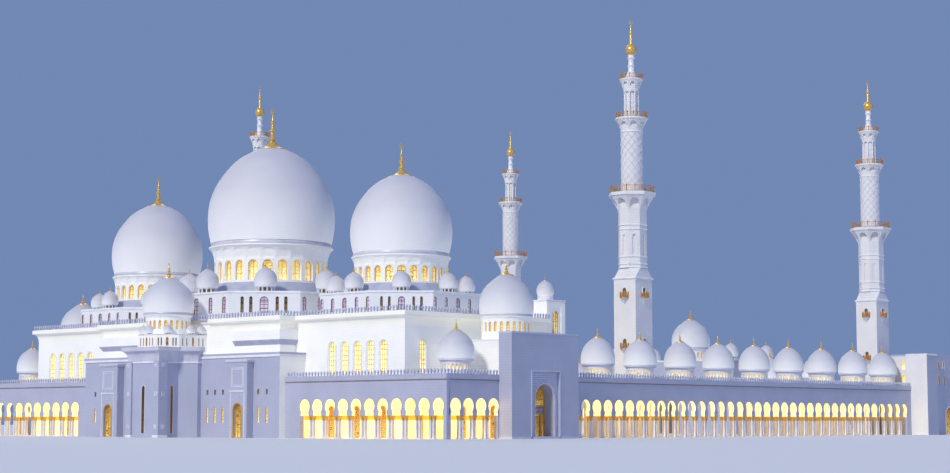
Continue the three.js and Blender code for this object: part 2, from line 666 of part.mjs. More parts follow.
function eastRoof() {
  const { inner, outer, x, ys } = eastRow;
  const { wallTop, roofTop, wall, eaves } = arcade;
  const end = pavilion.back;
  const outline = [
    [inner, -end], [outer + eaves, -end], [outer + eaves, -gate.side], [inner + wall, -gate.side],
    [inner + wall, gate.side], [outer + eaves, gate.side], [outer + eaves, end], [inner, end],
  ];
  const domes = [...ys, ...ys.map((y) => -y)].map((y) => domeOnArcade(x, y));
  return join(slab(outline, wallTop, roofTop), ...domes);
}

function cornerPavilion() {
  const p = pavilion;
  const outline = [
    [p.west, -p.front], [p.west + p.pier, -p.front], [p.west + p.pier, -p.recess],
    [eastEnd - p.pier, -p.recess], [eastEnd - p.pier, -p.front], [eastEnd, -p.front], [eastEnd, -p.back],
    [p.innerWest, -p.back], [p.innerWest, -p.shoulder], [p.west, -p.shoulder],
  ];
  const room = block(p.innerWest + 1, eastEnd - p.wall, -p.recess + p.wall, -p.back - 1, -1, p.top - 1);
  const doorOutline = archedOpening(p.doorX, p.doorHalf, -1, p.doorTop);
  const doorway = plateAlongX(doorOutline, -p.front - 1, -p.recess + 3);
  const openings = p.windowXs.flatMap((x) => p.windowRows.map(([sill, top]) => plateAlongX(
    archedOpening(x, p.windowHalf, sill, top, 2), -p.recess - 1, -p.recess + 3)));
  return cut(slab(outline, 0, p.top), room, doorway, ...openings);
}

function cornerTower() {
  const { west, side, top, wall } = tower;
  const south = -hall.side;
  const shell = cut(block(west, west + side, south, south + side, 0, top),
    block(west + wall, west + side - wall, south + wall, south + side - wall, -1, top - wall));
  const dome = { width: tower.dome, drum: tower.dome * 0.88, foot: top - 0.1, ring: top + 0.9,
    widest: tower.widest, brim: tower.brim, tip: tower.tip };
  const recess = plateAlongX(archedOpening(west + side / 2, tower.nicheHalf, tower.nicheSill, tower.nicheTop),
    south - 1, south + wall / 2);
  return cut(join(shell, smallDome(dome, west + side / 2, south + side / 2)), recess);
}

function minaretSolid(x, y) {
  const m = minaret;
  const half = m.side / 2;
  const cornerReach = half * Math.SQRT2;
  const octagon = 1 / Math.cos(Math.PI / 8);
  const square = block(x - half, x + half, y - half, y + half, 0, m.chamferTop);
  const chamfer = turned([[0, 0], [cornerReach * octagon, 0], [cornerReach * octagon, m.squareTop],
    [half * octagon, m.chamferTop], [0, m.chamferTop]], 8, x, y, Math.PI / 8);
  const octagonRadius = half * octagon;
  const balconyRadius = m.balcony1Width / 2;
  const eightSided = turned([
    [0, m.chamferTop - 0.1], [octagonRadius, m.chamferTop - 0.1], [octagonRadius, m.octagonTop],
    [octagonRadius + 0.8, m.octagonTop + 3], [balconyRadius, m.balcony1 - 0.8], [balconyRadius, m.balcony1],
    [0, m.balcony1],
  ], 8, x, y, Math.PI / 8);
  const shaft = turned([
    [0, m.balcony1 - 0.1], [m.shaftWidth / 2, m.balcony1 - 0.1], [m.shaftWidth / 2, m.shaftTop],
    [m.balcony2Width / 2, m.balcony2 - 0.6], [m.balcony2Width / 2, m.balcony2], [0, m.balcony2],
  ], 12, x, y);
  const lantern = turned([
    [0, m.balcony2 - 0.1], [m.lanternWidth / 2, m.balcony2 - 0.1], [m.lanternWidth / 2, m.lanternTop],
    [m.balcony3Width / 2, m.balcony3 - 0.5], [m.balcony3Width / 2, m.balcony3],
    [m.neckWidth / 2 + 0.3, m.balcony3], [m.neckWidth / 2, m.balcony3 + 1.2],
    [m.neckWidth / 2, m.neckTop], [0, m.neckTop],
  ], 8, x, y, Math.PI / 8);
  return join(square.intersect(chamfer), eightSided, shaft, lantern);
}

function minaretFinial(x, y) {
  const m = minaret;
  const ball = m.ballWidth / 2;
  return turned([
    [0, m.neckTop], [m.neckWidth / 2, m.neckTop], [ball * 0.8, m.ballMiddle - ball * 0.6],
    [ball, m.ballMiddle],
    [ball * 0.8, m.ballMiddle + ball * 0.6], [0.35, m.ballMiddle + ball], [0.25, m.ballMiddle + 3.6],
    [0.45, m.ballMiddle + 4.4], [0.12, m.ballMiddle + 5.2], [0, m.tip],
  ], 8, x, y);
}

piece('hall_west_wall', hallWestWall(), marble);
piece('hall_south_wall', hallSouthWall(), marble);
piece('hall_north_wall', mirrored(hallSouthWall()), marble);
piece('hall_east_wall', hallEastWall(), marble);
piece('hall_roof', hallRoof(), marble);
piece('west_front_wall_south', westFrontWall(), marble);
piece('west_front_wall_north', mirrored(westFrontWall()), marble);
piece('west_front_roof', westFrontRoof(), marble);

piece('niche_wall', nicheWall(), marble);
piece('niche_upper_storey', nicheUpperStorey(), marble);
piece('niche_dome', hollowDome(nicheDome, 14, 5), domeMarble);
piece('niche_finial', turned(finialProfile(nicheDome), 10, nicheDome.x, nicheDome.y), gold);

greatDome('main', mainDome, terraceTop);
greatDome('south', { ...sideDome, y: -sideDome.y }, sideTerraceTop);
greatDome('north', sideDome, sideTerraceTop);

piece('south_portal', portalSolid(), marble);
piece('south_portal_dome', hollowDome({ ...portalDome, y: -portalDome.y }, 14, 5), domeMarble);
piece('south_gilded_screen', gildedScreen(), gildedLattice);
piece('south_door_west', doorLeaf(-1), gildedLattice);
piece('south_door_east', doorLeaf(1), gildedLattice);
piece('north_portal', mirrored(portalSolid()), marble);
piece('north_portal_dome', hollowDome(portalDome, 14, 5), domeMarble);
piece('north_gilded_screen', closedScreen(), gildedLattice);

for (const [prefix, place] of [['south', (solid) => solid], ['north', mirrored]]) {
  piece(`${prefix}west_arcade_front_wall`, place(westArcadeWestWall()), marble);
  piece(`${prefix}west_arcade_side_wall`, place(westArcadeSideWall()), marble);
  piece(`${prefix}west_arcade_roof`, place(westArcadeRoof()), marble);
  piece(`${prefix}_arcade_outer_wall`, place(sideArcadeWall()), marble);
  piece(`${prefix}_arcade_court_wall`, place(sideCourtWall()), marble);
  piece(`${prefix}_arcade_roof`, place(sideArcadeRoof()), marble);
  piece(`${prefix}east_pavilion`, place(cornerPavilion()), marble);
  piece(`${prefix}east_hall_tower`, place(cornerTower()), marble);
  minaret.xs.forEach((x, i) => {
    const name = `${prefix}${['west', 'east'][i]}_minaret`;
    piece(name, place(minaretSolid(x, -minaret.y)), marble);
    piece(`${name}_finial`, place(minaretFinial(x, -minaret.y)), gold);
  });
}

piece('east_front', eastFront(), marble);
piece('east_gate_hall', eastGateHall(), marble);
piece('east_court_wall', eastCourtWall(), marble);
piece('east_roof', eastRoof(), marble);

export default group;
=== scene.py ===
import math

import bpy
from mathutils import Matrix, Vector


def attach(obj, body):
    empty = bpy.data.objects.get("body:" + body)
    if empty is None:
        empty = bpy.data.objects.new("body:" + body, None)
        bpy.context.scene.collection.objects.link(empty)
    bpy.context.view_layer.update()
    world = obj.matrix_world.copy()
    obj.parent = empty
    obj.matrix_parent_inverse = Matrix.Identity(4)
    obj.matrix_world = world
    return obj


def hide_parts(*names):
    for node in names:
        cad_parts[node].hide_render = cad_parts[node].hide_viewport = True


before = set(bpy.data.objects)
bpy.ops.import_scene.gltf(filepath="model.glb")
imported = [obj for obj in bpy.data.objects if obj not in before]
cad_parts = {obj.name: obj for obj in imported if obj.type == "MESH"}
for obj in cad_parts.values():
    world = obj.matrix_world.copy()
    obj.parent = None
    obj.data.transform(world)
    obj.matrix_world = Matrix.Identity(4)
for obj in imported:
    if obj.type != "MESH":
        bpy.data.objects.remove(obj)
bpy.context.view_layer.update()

# Sizes are the real building's in metres, from the point under the main dome.
# settle() turns them into metres of the 1:10 model.
modelScale = 0.1
planMiddle = 79.0
toModel = Matrix.Scale(modelScale, 4) @ Matrix.Translation((-planMiddle, 0, 0))
sideways = Matrix.Scale(-1, 4, (0, 1, 0))


# Modelling helpers

def shift(x, y, z):
    return Matrix.Translation((x, y, z))


def turned(degrees, axis="Z"):
    return Matrix.Rotation(math.radians(degrees), 4, axis)


def clearSelection():
    bpy.ops.object.select_all(action="DESELECT")


def pick(*objects):
    clearSelection()
    for thing in objects:
        thing.select_set(True)
    bpy.context.view_layer.objects.active = objects[0]


def startEdit(thing):
    pick(thing)
    bpy.ops.object.mode_set(mode="EDIT")
    bpy.ops.mesh.select_all(action="SELECT")


def endEdit():
    bpy.ops.object.mode_set(mode="OBJECT")


def drawLine(points, closed=False, fill=False):
    # one vertex, extruded from point to point
    clearSelection()
    bpy.ops.mesh.primitive_plane_add(size=1)
    bpy.ops.object.mode_set(mode="EDIT")
    bpy.ops.mesh.merge(type="CENTER")
    bpy.ops.transform.translate(value=points[0])
    corners = list(points) + ([points[0]] if closed else [])
    for a, b in zip(corners, corners[1:]):
        bpy.ops.mesh.extrude_vertices_move(
            TRANSFORM_OT_translate={"value": (b[0] - a[0], b[1] - a[1], b[2] - a[2])})
    bpy.ops.mesh.select_all(action="SELECT")
    bpy.ops.mesh.remove_doubles(threshold=1e-4)
    if fill:
        bpy.ops.mesh.edge_face_add()
    endEdit()
    return bpy.context.object


def pushOut(push):
    # the selected faces extruded, and the whole mesh closed with its faces outward
    bpy.ops.mesh.extrude_region_move(TRANSFORM_OT_translate={"value": push})
    bpy.ops.mesh.select_all(action="SELECT")
    bpy.ops.mesh.normals_make_consistent(inside=False)
    endEdit()


def plate(points, push):
    # a flat outline, filled and extruded
    thing = drawLine(points, closed=True, fill=True)
    startEdit(thing)
    pushOut(push)
    return thing


def wallAlongX(outline, y0, y1):
    return plate([(u, y0, z) for u, z in outline], (0, y1 - y0, 0))


def wallAlongY(outline, x0, x1):
    return plate([(x0, u, z) for u, z in outline], (x1 - x0, 0, 0))


def slab(outline, z0, z1):
    return plate([(x, y, z0) for x, y in outline], (0, 0, z1 - z0))


def block(x0, x1, y0, y1, z0, z1):
    return slab([(x0, y0), (x1, y0), (x1, y1), (x0, y1)], z0, z1)


def hollowFrame(outline, width, push):
    # outline drawn on the wall plane: a flat ring of the given width, pushed out
    thing = drawLine(outline, closed=True, fill=True)
    startEdit(thing)
    bpy.ops.mesh.inset(thickness=width)
    bpy.ops.mesh.delete(type="FACE")
    bpy.ops.mesh.select_all(action="SELECT")
    pushOut(push)
    return thing


def lathe(profile, segments, turn=0.0, closed=False):
    thing = drawLine([(r * math.cos(turn), r * math.sin(turn), z) for r, z in profile], closed)
    startEdit(thing)
    bpy.ops.mesh.spin(steps=segments, angle=2 * math.pi, center=(0, 0, 0), axis=(0, 0, 1))
    bpy.ops.mesh.select_all(action="SELECT")
    bpy.ops.mesh.remove_doubles(threshold=1e-3)
    bpy.ops.mesh.normals_make_consistent(inside=False)
    endEdit()
    return thing


def copyOf(thing, matrix):
    twin = thing.copy()
    twin.data = thing.data.copy()
    twin.data.transform(matrix)
    if matrix.determinant() < 0:
        twin.data.flip_normals()
    bpy.context.scene.collection.objects.link(twin)
    return twin


def joined(*things):
    pick(*things)
    bpy.ops.object.join()
    return bpy.context.object


def dropped(*things):
    for thing in things:
        bpy.data.objects.remove(thing)


def spread(template, matrices):
    # the template copied to each place, as one mesh
    copies = [copyOf(template, matrix) for matrix in matrices]
    dropped(template)
    return joined(*copies)


def modified(thing, kind, **settings):
    # one modifier, set and applied
    modifier = thing.modifiers.new(kind.lower(), kind)
    for key, value in settings.items():
        setattr(modifier, key, value)
    pick(thing)
    bpy.ops.object.modifier_apply(modifier=modifier.name)
    return thing


def row(template, count, step):
    return modified(template, "ARRAY", count=count, use_relative_offset=False, use_constant_offset=True,
                    constant_offset_displace=step, use_merge_vertices=False)


def cutBy(thing, cutter, operation="DIFFERENCE"):
    modified(thing, "BOOLEAN", operation=operation, solver="EXACT", object=cutter)
    dropped(cutter)
    return thing


def finish(thing, material):
    thing.data.materials.clear()
    thing.data.materials.append(material)
    return thing


def settle(thing, name, replaced=None, body="building"):
    thing.name = name
    thing.data.name = name
    thing.data.transform(toModel)
    pick(thing)
    bpy.ops.object.shade_smooth_by_angle(angle=math.radians(30))
    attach(thing, body)
    if replaced:
        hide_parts(replaced)


def around(x, y, count, start=0.0):
    return [shift(x, y, 0) @ Matrix.Rotation(start + 2 * math.pi * i / count, 4, "Z")
            for i in range(count)]


def facing(x, y, angle, distance, along=0.0):
    # a place on a wall: local +x points out of it, local y runs along it
    turn = turned(angle)
    return shift(x, y, 0) @ turn @ shift(distance, along, 0)


def archOutline(half, sill, top, steps=16, middle=0.0):
    spring = top - half
    points = [(middle - half, sill)]
    for i in range(steps + 1):
        angle = math.pi * (1 - i / steps)
        points.append((middle + half * math.cos(angle), spring + half * math.sin(angle)))
    points.append((middle + half, sill))
    return points


def archBlock(half, sill, top, near, far, steps=8):
    # solid arch facing +x, from near to far
    return wallAlongY(archOutline(half, sill, top, steps), near, far)


def boxOutline(half, sill, top, middle=0.0):
    return [(middle - half, sill), (middle - half, top), (middle + half, top), (middle + half, sill)]


def moulding(path, profile, closed=False):
    # profile (out from the path, height) run along a plan path, mitred at its corners
    # the path runs anticlockwise, so that out is to the right of the way it goes
    points = [Vector((x, y, 0)) for x, y in path]
    count = len(points)
    reach = 2 + 2 * max(abs(out) for out, z in profile)
    spans = range(count if closed else count - 1)
    ways = [(points[(i + 1) % count] - points[i]).normalized() for i in spans]
    runs = []
    for i in spans:
        way = ways[i]
        out = Vector((way.y, -way.x, 0))
        start = points[i]
        end = points[(i + 1) % count]
        outline = [start - way * reach + out * d + Vector((0, 0, z)) for d, z in profile]
        run = plate([tuple(p) for p in outline], tuple(way * ((end - start).length + 2 * reach)))
        before = ways[i - 1] if closed or i > 0 else way
        after = ways[(i + 1) % count] if closed or i < count - 2 else way
        for place, normal in ((start, -(way + before)), (end, way + after)):
            startEdit(run)
            bpy.ops.mesh.bisect(plane_co=place, plane_no=normal.normalized(), use_fill=True,
                                clear_outer=True, clear_inner=False)
            endEdit()
        runs.append(run)
    return joined(*runs)


def lipProfile(foot, inner=-0.3):
    # plain projecting band with a splay below it
    return [(inner, foot), (0.06, foot), (0.14, foot + 0.15), (0.14, foot + 0.52), (inner, foot + 0.52)]


# Materials

def linear(hexColour):
    channels = [int(hexColour[i:i + 2], 16) / 255 for i in (1, 3, 5)]
    return [c / 12.92 if c <= 0.04045 else ((c + 0.055) / 1.055) ** 2.4 for c in channels] + [1.0]


def addNode(tree, kind, settings=None, links=None):
    # settings by input name, or by property with a leading dot; links as input: (node, output)
    node = tree.nodes.new(kind)
    for key, value in (settings or {}).items():
        if str(key).startswith("."):
            setattr(node, key[1:], value)
        else:
            node.inputs[key].default_value = value
    for key, (source, output) in (links or {}).items():
        tree.links.new(source.outputs[output], node.inputs[key])
    return node


def ranged(tree, source, output, low, high, newLow=0.0, newHigh=1.0):
    # a node's output, stretched from one range to another and kept inside it
    return addNode(tree, "ShaderNodeMapRange",
                   {"From Min": low, "From Max": high, "To Min": newLow, "To Max": newHigh},
                   {"Value": (source, output)})


def noise(tree, place, scale, detail, **others):
    return addNode(tree, "ShaderNodeTexNoise", {"Scale": scale, "Detail": detail, **others},
                   {"Vector": (place, "Object")})


def blend(tree, links, **settings):
    return addNode(tree, "ShaderNodeMix", {".data_type": "RGBA", **settings}, links)


def multiplied(tree, links, **settings):
    # colour A darkened or lightened by B
    return blend(tree, links, **{".blend_type": "MULTIPLY", "Factor": 1.0}, **settings)


def heightShare(tree):
    # the share of the height that markHeight() stores with each point
    return addNode(tree, "ShaderNodeAttribute", {".attribute_name": "heightShare"})


def paint(tree, shader, shade, *names):
    # a mixed result led to inputs of the shader
    for name in names:
        tree.links.new(shade.outputs["Result"], shader.inputs[name])


def bumped(tree, shader, source, output, strength, distance, **others):
    bump = addNode(tree, "ShaderNodeBump", {"Strength": strength, "Distance": distance, **others},
                   {"Height": (source, output)})
    tree.links.new(bump.outputs["Normal"], shader.inputs["Normal"])


def newMaterial(name, colour, roughness, metallic=0.0):
    material = bpy.data.materials.new(name)
    material.use_nodes = True
    tree = material.node_tree
    shader = tree.nodes["Principled BSDF"]
    shader.inputs["Base Color"].default_value = linear(colour)
    shader.inputs["Roughness"].default_value = roughness
    shader.inputs["Metallic"].default_value = metallic
    return material, tree, shader


def wallCoordinates(tree):
    # x + y runs along a wall whichever way it faces, z is its height
    place = addNode(tree, "ShaderNodeTexCoord")
    axes = addNode(tree, "ShaderNodeSeparateXYZ", links={"Vector": (place, "Object")})
    along = addNode(tree, "ShaderNodeMath", {".operation": "ADD"}, {0: (axes, "X"), 1: (axes, "Y")})
    wall = addNode(tree, "ShaderNodeCombineXYZ", links={"X": (along, "Value"), "Y": (axes, "Z")})
    return place, axes, wall


def coursedMarble(name, colour, joint, courseHeight, glow=0.0):
    # honed white marble slabs on a fine mortar bed: pale, with thin straight courses; the glow is floodlight
    material, tree, shader = newMaterial(name, colour, 0.38)
    shader.inputs["Emission Color"].default_value = linear("#FFFDF2")
    shader.inputs["Emission Strength"].default_value = glow
    place, _, wall = wallCoordinates(tree)
    brick = addNode(tree, "ShaderNodeTexBrick", {
        "Color1": linear(colour), "Color2": linear(colour), "Mortar": linear(joint), "Scale": 1.0,
        "Brick Width": courseHeight * 2.4, "Row Height": courseHeight, "Mortar Size": courseHeight * 0.035,
        "Mortar Smooth": 0.6}, {"Vector": (wall, "Vector")})
    tint = ranged(tree, noise(tree, place, 1.6, 6.0, Roughness=0.6), "Fac", 0.3, 0.7, 0.93, 1.03)
    shade = multiplied(tree, {"A": (brick, "Color"), "B": (tint, "Result")})
    paint(tree, shader, shade, "Base Color")
    bumped(tree, shader, brick, "Fac", 0.25, 0.004, **{".invert": True})
    return material


def domeTiles(name, colour, crown, joint, rowHeight):
    # small white marble tiles laid in rings that show as fine level lines; greyer towards the crown as painted
    # shade
    material, tree, shader = newMaterial(name, colour, 0.65)
    place, axes, _ = wallCoordinates(tree)
    rows = addNode(tree, "ShaderNodeMath", {".operation": "PINGPONG", 1: rowHeight / 2}, {0: (axes, "Z")})
    line = ranged(tree, rows, "Value", 0.0, rowHeight * 0.12)
    mottle = ranged(tree, noise(tree, place, 0.9, 5.0), "Fac", 0.3, 0.7, 0.95, 1.03)
    height = heightShare(tree)
    # the fade from the tile colour to the greyer crown colour is painted shade
    fade = blend(tree, {"Factor": (height, "Fac")}, A=linear(colour), B=linear(crown))
    floodlight = ranged(tree, height, "Fac", 0.0, 0.55, 0.2, 0.0)
    paint(tree, shader, floodlight, "Emission Strength")
    shader.inputs["Emission Color"].default_value = linear("#FCFFF4")
    lined = blend(tree, {"Factor": (line, "Result"), "B": (fade, "Result")}, A=linear(joint))
    shade = multiplied(tree, {"A": (lined, "Result"), "B": (mottle, "Result")})
    paint(tree, shader, shade, "Base Color")
    bumped(tree, shader, line, "Result", 0.2, 0.003)
    return material


def veinedMarble(name, colour, vein, roughness=0.35):
    # plain marble for mouldings and merlons: a faint cloudy vein, no joints
    material, tree, shader = newMaterial(name, colour, roughness)
    place = addNode(tree, "ShaderNodeTexCoord")
    mixing = ranged(tree, noise(tree, place, 2.5, 8.0, Distortion=0.8), "Fac", 0.42, 0.72)
    shade = blend(tree, {"Factor": (mixing, "Result")}, A=linear(colour), B=linear(vein))
    paint(tree, shader, shade, "Base Color")
    return material


def gildedMetal(name, colour, roughness):
    # gilding over copper: warm, bright, with slightly uneven gloss
    material, tree, shader = newMaterial(name, colour, roughness, 0.5)
    place = addNode(tree, "ShaderNodeTexCoord")
    gloss = ranged(tree, noise(tree, place, 12.0, 4.0), "Fac", 0.0, 1.0, roughness * 0.7, roughness * 1.4)
    paint(tree, shader, gloss, "Roughness")
    return material


def litGlass(name, low, high, lead, paneSize, strength):
    # patterned window glass lit from inside: palest at the sill, gold at the head, with lace of lead lines
    material, tree, shader = newMaterial(name, high, 0.25)
    wall = wallCoordinates(tree)[2]
    fade = blend(tree, {"Factor": (heightShare(tree), "Fac")}, A=linear(low), B=linear(high))
    panes = addNode(tree, "ShaderNodeTexVoronoi", {".feature": "DISTANCE_TO_EDGE", "Scale": 1 / paneSize,
                                                  "Randomness": 0.55}, {"Vector": (wall, "Vector")})
    edge = ranged(tree, panes, "Distance", 0.02, 0.11)
    shade = blend(tree, {"Factor": (edge, "Result"), "B": (fade, "Result")}, A=linear(lead))
    paint(tree, shader, shade, "Base Color", "Emission Color")
    shader.inputs["Emission Strength"].default_value = strength
    return material


def litPlaster(name, colour, strength):
    # gallery marble washed by warm lamps: creamy yellow, brighter in soft patches
    material, tree, shader = newMaterial(name, colour, 0.6)
    place = addNode(tree, "ShaderNodeTexCoord")
    patch = ranged(tree, noise(tree, place, 2.2, 3.0), "Fac", 0.3, 0.7, 0.75, 1.1)
    shade = multiplied(tree, {"B": (patch, "Result")}, A=linear(colour))
    paint(tree, shader, shade, "Base Color", "Emission Color")
    shader.inputs["Emission Strength"].default_value = strength
    return material


def carvedMarble(name, colour, hollow, motifSize):
    # marble panel carved with a small repeated lace of round hollows, their middles painted darker as shade
    material, tree, shader = newMaterial(name, colour, 0.45)
    wall = wallCoordinates(tree)[2]
    motif = addNode(tree, "ShaderNodeTexVoronoi", {".feature": "F1", "Scale": 1 / motifSize, "Randomness": 0.0},
                    {"Vector": (wall, "Vector")})
    dots = ranged(tree, motif, "Distance", 0.22, 0.4)
    # the hollow colour is painted shade in the carved dots
    shade = blend(tree, {"Factor": (dots, "Result")}, A=linear(hollow), B=linear(colour))
    paint(tree, shader, shade, "Base Color")
    bumped(tree, shader, dots, "Result", 0.5, 0.004)
    return material


wallMarble = coursedMarble("coursed white marble", "#F4F5F3", "#DADBE4", 0.06, glow=0.11)
coveMarble = coursedMarble("floodlit cornice marble", "#F0EFE6", "#D8D8D4", 0.06, glow=0.16)
terraceMarble = coursedMarble("coursed terrace marble", "#DFE1E8", "#C9CBD8", 0.06, glow=0.1)
# the lower walls are the same white marble, tinted lilac as painted shade
lowShadeMarble = coursedMarble("coursed white marble in painted lilac shade", "#B6BAD0", "#9AA0BE", 0.06)
minaretMarble = coursedMarble("coursed minaret marble", "#ECEBEC", "#D2D2DA", 0.06)
domeMarble = domeTiles("dome marble tiles", "#E4E4EA", "#C2C2D0", "#D2D2DA", 0.05)
smallDomeMarble = domeTiles("small dome marble tiles", "#E2E3E9", "#BCBDCC", "#D0D0D8", 0.032)
trimMarble = veinedMarble("white marble moulding", "#F2F2F5", "#E0E0EA")
# lilac grey marble, also used as painted shade under the ledge
lilacMarbleAndShade = veinedMarble("lilac grey marble and painted ledge shade", "#B4B4CC", "#9F9FBD")
ringMarble = veinedMarble("grey marble course", "#D0D0DC", "#BDBDCE")
# white marble mouldings tinted lilac as painted shade
shadeTintMoulding = veinedMarble("white moulding in painted lilac shade", "#CFD0E0", "#BEC0D4")
# white merlon marble darkened lilac as painted shade
merlonShadeMarble = veinedMarble("merlon marble in painted lilac shade", "#C3C5D8", "#AEB1CA")
skirtLead = veinedMarble("blue grey roofing", "#B4B9CE", "#9EA5C0", 0.5)
gilding = gildedMetal("gilded copper", "#E5BE70", 0.32)
bronze = gildedMetal("gilded bronze railing", "#D09B5C", 0.4)
frameBronze = gildedMetal("brown bronze window frame", "#7A6047", 0.5)
goldGlass = litGlass("lit golden window glass", "#F9F0BE", "#D2B85E", "#9C7A30", 0.03, 0.9)
hallGlass = litGlass("pale lit hall glass", "#FFFCDC", "#F8EDA6", "#D8BE5C", 0.05, 0.95)
plumGlass = litGlass("coloured window glass", "#D2C2D6", "#B3A5CE", "#8C7A74", 0.022, 0.55)
slitGlass = litGlass("amber slit glass in bronze", "#B9A05C", "#6C5D3A", "#3E352A", 0.05, 0.22)
doorGlow = litGlass("lit amber doorway glass", "#F2CE74", "#A97420", "#54401C", 0.05, 0.5)
galleryGlow = litPlaster("lamp lit gallery marble", "#FFE9AE", 0.88)
galleryDeep = litPlaster("lamp lit gallery ceiling", "#EFCB80", 0.7)
galleryBand = litPlaster("lamp lit gilded frieze", "#EBB633", 0.72)
friezeGlass = litGlass("blue frieze glass", "#5C6FA8", "#39507E", "#B9923C", 0.06, 0.15)
panelCarving = carvedMarble("carved marble lace", "#C9CBDE", "#8F9AC2", 0.045)
darkGlass = litGlass("dim bronze glass", "#A08A5C", "#6E5C48", "#4A3E32", 0.03, 0.12)
gutterBronze = gildedMetal("darkened bronze gutter", "#A08A84", 0.6)
print("materials made")


# Domes

# half-width as a share of the widest, at tenths of the way from the widest ring to the brim
taper = {"great": [1, 0.996, 0.984, 0.957, 0.915, 0.861, 0.788, 0.7, 0.6, 0.448, 0.236],
         "middle": [1, 0.996, 0.983, 0.959, 0.922, 0.866, 0.792, 0.69, 0.56, 0.41, 0.25],
         "small": [1, 0.998, 0.99, 0.968, 0.935, 0.887, 0.82, 0.725, 0.6, 0.445, 0.25]}


def taperAt(tenths, share):
    # smooth curve through the table
    i = min(9, int(share * 10))
    t = share * 10 - i
    one, two = tenths[i], tenths[i + 1]
    before = tenths[i - 1] if i > 0 else tenths[1]
    after = tenths[i + 2] if i < 9 else 2 * two - one
    bend = 2 * before - 5 * one + 4 * two - after
    return one + t / 2 * (two - before + t * (bend + t * (3 * (one - two) + after - before)))


def domeCurve(dome, steps):
    # round below the widest ring, tapered to a point above it
    radius = dome["width"] / 2
    brim = dome["brimWidth"] / 2
    tenths = taper[dome.get("shape", "small")]
    rise = (dome["brim"] - dome["widest"]) / math.sqrt(1 - (brim / radius) ** 2)
    low = -math.asin((dome["widest"] - dome["ring"]) / rise)
    high = math.acos(brim / radius)
    points = []
    for i in range(steps + 1):
        angle = low + (high - low) * i / steps
        share = math.sin(angle) / math.sin(high)
        width = math.cos(angle)
        if share > 0:
            width = taperAt(tenths, share) + (brim / radius - tenths[-1]) * share ** 6
        points.append((radius * width, dome["widest"] + rise * math.sin(angle)))
    return points


def bead(z, height, radius, neck):
    return [(neck, z), (radius * 0.85, z + height * 0.22), (radius, z + height * 0.5),
            (radius * 0.85, z + height * 0.78), (neck, z + height)]


def finialShape(dome, segments=24):
    # brim, flared cone, three stacked beads, spire and crescent
    brim = dome["brimWidth"] / 2
    rise = dome["tip"] - dome["brim"]
    if dome.get("shape") == "great":
        parts = [(0.9, -0.045), (1.02, -0.04), (1.06, -0.015), (1.02, 0.01), (0.8, 0.025), (0.56, 0.056),
                 (0.36, 0.126), (0.23, 0.19)]
    else:
        parts = [(0.9, -0.06), (1.04, -0.05), (1.1, -0.01), (1.06, 0.03), (0.82, 0.06), (0.58, 0.1), (0.38, 0.15),
                 (0.27, 0.19)]
    parts += bead(0.195, 0.1, 0.27, 0.17) + [(0.11, 0.33), (0.14, 0.38)] + bead(0.4, 0.1, 0.22, 0.12)
    parts += [(0.09, 0.53), (0.11, 0.57)] + bead(0.595, 0.085, 0.17, 0.09)
    parts += [(0.065, 0.7), (0.03, 0.86), (0, 0.87)]
    profile = [(0, dome["brim"] - rise * 0.05)] + [(r * brim, dome["brim"] + rise * z) for r, z in parts]
    if dome.get("shape") != "great":
        profile = [(r if z < dome["brim"] + rise * 0.19 else r * 1.25, z) for r, z in profile]
    body = lathe(profile, segments)
    crescent = crescentShape(rise * 0.075, dome["brim"] + rise * 0.925, max(0.05, rise * 0.012))
    return finish(joined(body, crescent), gilding)


def crescentShape(radius, z, thickness):
    steps = 9
    outer = [math.radians(115 + 310 * i / steps) for i in range(steps + 1)]
    points = [(math.cos(a), math.sin(a)) for a in outer]
    inner = [math.radians(60 - 300 * i / steps) for i in range(1, steps)]
    points += [(0.72 * math.cos(a), 0.2 + 0.72 * math.sin(a)) for a in inner]
    tilt = Matrix.Rotation(math.radians(40), 2)
    leaning = [tilt @ Vector(point) * radius for point in points]
    return wallAlongY([(u, z + w) for u, w in leaning], -thickness, thickness)


def shellShape(dome, segments, steps, material):
    curve = domeCurve(dome, steps)
    shell = lathe(curve + [(0, dome["brim"])], segments)
    modified(shell, "SOLIDIFY", thickness=dome["shell"], offset=-1)
    markHeight(shell, dome["ring"], dome["brim"])
    return finish(shell, material)


def drumProfile(dome):
    # closed outline of the drum's wall, whose head swings out through an arc of 80 degrees
    radius = dome["drum"] / 2
    lip = dome["lip"] / 2
    flare = dome["flare"]
    top = dome["drumTop"]
    rise = top - 0.3 * dome["trim"] - flare
    steps = dome.get("flareSteps", 6)
    arc = math.radians(80)
    cove = [(radius + (lip - radius) * (1 - math.cos(arc * i / steps)) / (1 - math.cos(arc)),
             flare + rise * math.sin(arc * i / steps) / math.sin(arc)) for i in range(steps + 1)]
    inside = radius - dome["wall"]
    return [(inside, dome["foot"]), (radius, dome["foot"])] + cove + [(lip, top), (inside, top)]


def drumShape(dome, segments):
    # ring wall with a flared head, arched windows, and an arched hollow over each window
    drum = lathe(drumProfile(dome), segments, closed=True)
    radius = dome["drum"] / 2
    half = dome["windowWidth"] / 2
    window = archBlock(half, dome["sill"], dome["head"], radius - dome["wall"] - 1, radius + 2)
    cutters = [window]
    if "hollow" in dome:
        low, high = dome["hollow"]
        hollow = archBlock(dome["hollowWidth"] / 2, low, high, radius - 0.27 * dome["trim"], radius + 6)
        lean = Matrix.Identity(4)
        lean[0][2], lean[0][3] = 0.32, -0.32 * low
        hollow.data.transform(lean)
        cutters.append(hollow)
    cutter = spread(joined(*cutters), around(0, 0, dome["windows"]))
    return finish(cutBy(drum, cutter), wallMarble if dome["width"] > 10 else trimMarble)


